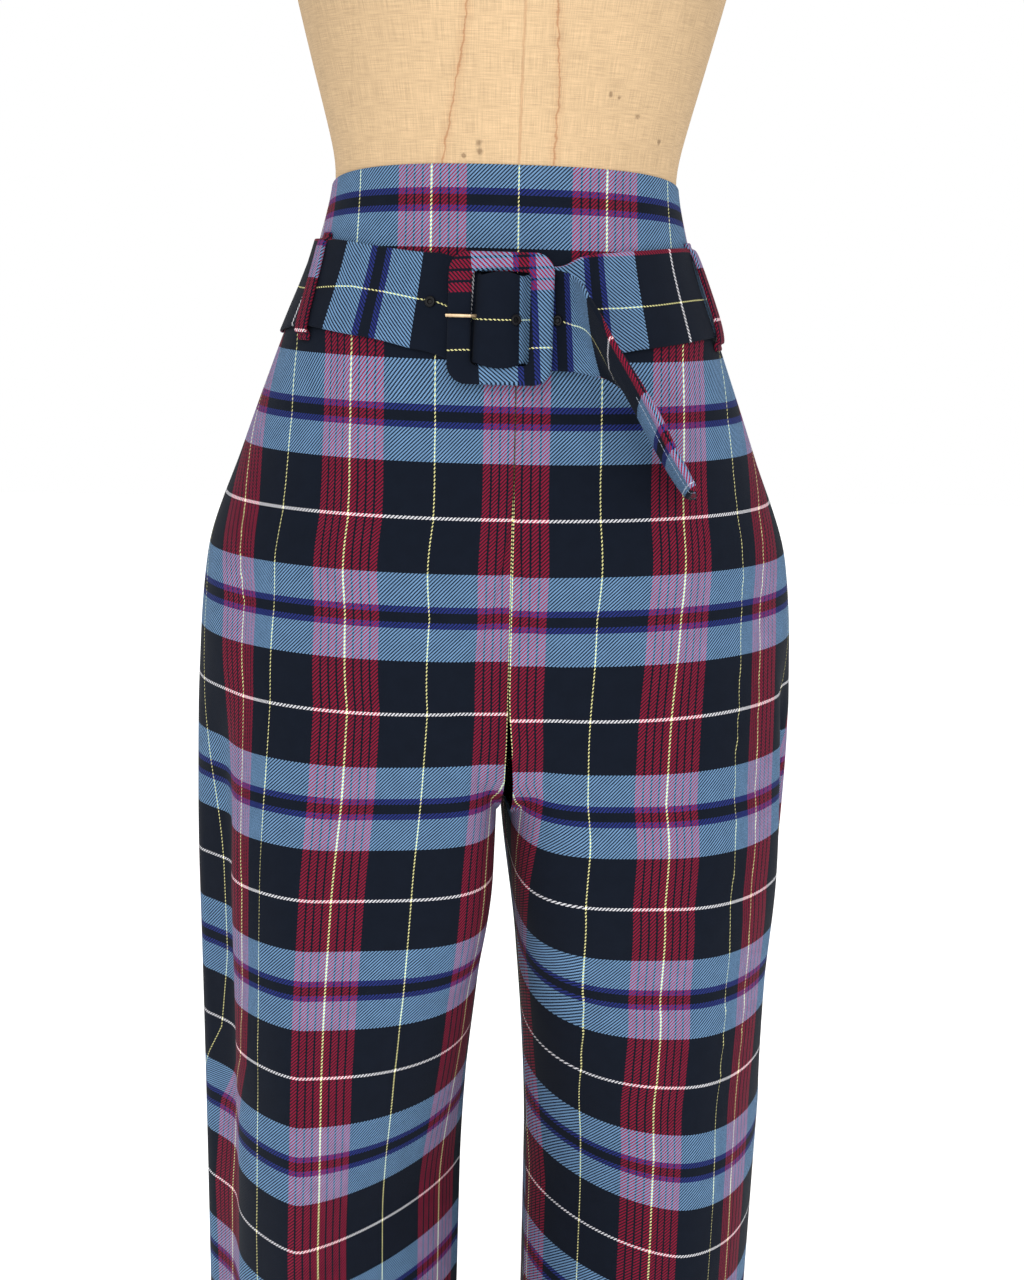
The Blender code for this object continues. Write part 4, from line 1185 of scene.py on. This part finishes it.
buckle_turn = Matrix.Rotation(-BUCKLE_TILT, 4, "Z") @ Matrix.Rotation(math.radians(90) - BUCKLE_LEAN, 4, "X")
buckle_matrix = Matrix.Translation((BUCKLE_X, BUCKLE_Y, BUCKLE_Z)) @ buckle_turn
rim = rounded_outline(BUCKLE_WIDTH, BUCKLE_HEIGHT, BUCKLE_CORNER)
window = rounded_outline(BUCKLE_WIDTH - 2 * BUCKLE_SIDE_BAR, BUCKLE_HEIGHT - 2 * BUCKLE_END_BAR,
                         BUCKLE_WINDOW_CORNER)
bm = bmesh.new()
layer = bm.loops.layers.uv.new("cloth")
verts, places = [], []
for k in range(COVER_STEPS):
    angle = 2 * math.pi * k / COVER_STEPS
    out = 0.5 + 0.5 * math.copysign(abs(math.cos(angle)) ** (2 / COVER_SQUARE), math.cos(angle))
    deep = math.copysign(abs(math.sin(angle)) ** (2 / COVER_SQUARE), math.sin(angle)) * COVER_THICK / 2
    flat = window + (rim - window) * out
    verts.append([bm.verts.new(buckle_matrix @ Vector((x, y, BUCKLE_THICK / 2 + deep))) for x, y in flat])
    lowness = (COVER_WEFT_AT[0] - flat[:, 1]) / (COVER_WEFT_AT[0] - COVER_WEFT_AT[1])
    lowness = np.clip(lowness, -COVER_WEFT_PAST, 1 + COVER_WEFT_PAST)
    at_top = np.interp(flat[:, 0], *zip(*COVER_WEFT_TOP))
    at_low = np.interp(flat[:, 0], *zip(*COVER_WEFT_LOW))
    level = flat[:, 1] - COVER_SLOPE * (flat[:, 0] - COVER_LEVEL_X)
    places.append(list(zip(np.interp(level, *zip(*COVER_WARP)), at_top + (at_low - at_top) * lowness)))
for k in range(COVER_STEPS):
    for i in range(len(rim)):
        corners = [(k, i), (k, (i + 1) % len(rim)), ((k + 1) % COVER_STEPS, (i + 1) % len(rim)),
                   ((k + 1) % COVER_STEPS, i)]
        face = bm.faces.new([verts[a][b] for a, b in corners])
        face.smooth = True
        for loop, (a, b) in zip(face.loops, corners):
            loop[layer].uv = places[a][b]
buckle_cover = sewn_piece("buckle_cover", bm, tartan)
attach(buckle_cover, "root")
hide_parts("buckle_frame")
give_material(bpy.data.objects["buckle_bar"], black_steel)
brass, tree, shader = new_material("worn brass", (.58, .42, .24), 0.36, {"Metallic": 0.85})
worn = noise(tree, object_place(tree), 300, 3)
tree.links.new(mix_colour(tree, worn, BRASS_DULL, BRASS_BRIGHT), shader.inputs["Base Color"])
give_material(bpy.data.objects["prong"], brass)

# Eyelets: small pressed steel rings in matt black enamel, set along the belt's middle, each hole closed by a
# black plug as painted shade.
EYELET_RADIUS = 0.0023
EYELET_WIRE = 0.0011
HOLE_SHADE_PLUG_RADIUS = 0.0014
HOLE_SHADE_PLUG_DEEP = 0.0012
# How far a ring's middle stands off the belt's face, and how deep the middle of the black plug lies that
# fills its hole as painted shade
RING_OUT = 0.0005
HOLE_SHADE_PLUG_IN = 0.0004
# Each eyelet's place, in columns of the belt from where its free end starts to bend
EYELETS = [("eyelet_1", -2.25), ("eyelet_2", 5.4), ("eyelet_3", 10.05)]

black_enamel_and_hole_shade, tree, shader = new_material("matt black enamel", (.004, .004, .005), 0.34,
                                          {"Specular IOR Level": 0.15})
relief(tree, shader, noise(tree, object_place(tree), 1500), 0.00005, 0.2)
for name, column in EYELETS:
    c = int(round((bends_start + column) * COLUMN_STEPS))
    middle, out = Vector(belt_face[c, BELT_ACROSS // 2]), Vector(belt_normal[c, BELT_ACROSS // 2])
    turned = out.to_track_quat("Z", "Y").to_euler()
    bpy.ops.mesh.primitive_torus_add(location=middle + out * RING_OUT, rotation=turned, major_segments=36,
                                     minor_segments=12, major_radius=EYELET_RADIUS, minor_radius=EYELET_WIRE)
    ring = bpy.context.object
    # A closed black cylinder fills the hole: painted shade in place of the open hole.
    bpy.ops.mesh.primitive_cylinder_add(vertices=36, radius=HOLE_SHADE_PLUG_RADIUS, depth=HOLE_SHADE_PLUG_DEEP,
                                        location=middle - out * HOLE_SHADE_PLUG_IN, rotation=turned)
    ring.select_set(True)
    bpy.context.view_layer.objects.active = ring
    bpy.ops.object.join()
    start_edit(ring)
    finish_shape(ring, f"{name}_ring", black_enamel_and_hole_shade)
    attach(ring, "root")
    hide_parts(name)

# Belt loops: narrow folded strips of the twill, one at each side and one behind, sewn above and below the
# belt with their ends turned in.
LOOP_WIDTH = 0.0115
LOOP_THICK = 0.0028
LOOP_WARP = 0.0110
LOOP_SLACK_OVER = 0.88
# One row for each height of a loop: its share of the way to the end, and how far it stands off the waist
LoopBend = namedtuple("LoopBend", "rise off")
LOOP_BENDS = [LoopBend(1.0, .0030), LoopBend(.92, .0034), LoopBend(.84, .0060), LoopBend(.42, .0066),
              LoopBend(-.42, .0066), LoopBend(-.84, .0060), LoopBend(-.92, .0034), LoopBend(-1.0, .0030)]
# Side, distance round and how much further at the lower end, heights of the two ends above and below the
# belt's middle, slack at the middle, and where the weft starts at the upper end
Loop = namedtuple("Loop", "side u lean top low slack weft")
LOOPS = [
    Loop("right", -.154, .014, .0335, .0305, 0, .0650),
    Loop("left", .155, 0, .0330, .0325, .0022, .0520),
    Loop("back", waist_length / 2, 0, .0375, .0375, 0, .02),
]
for loop in LOOPS:
    loop_columns = []
    for b in LOOP_BENDS:
        rise = b.rise * (loop.top if b.rise > 0 else loop.low)
        off = b.off + loop.slack * max(0, 1 - (b.rise / LOOP_SLACK_OVER) ** 2)
        u = loop.u + loop.lean * (1 - b.rise) / 2
        z = belt_middle(loop.u) + rise
        loop_columns.append([on_waist(u + k * LOOP_WIDTH, z, off) for k in (.5, 0, -.5)])
    count = len(loop_columns)
    loop_strip, _, _ = folded_strip(f"belt_loop_strip_{loop.side}", loop_columns, [LOOP_THICK] * count,
                                    tartan, [LOOP_WARP] * count, lambda length: loop.weft - length, 7)
    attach(loop_strip, "root")
    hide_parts(f"belt_loop_{loop.side}")
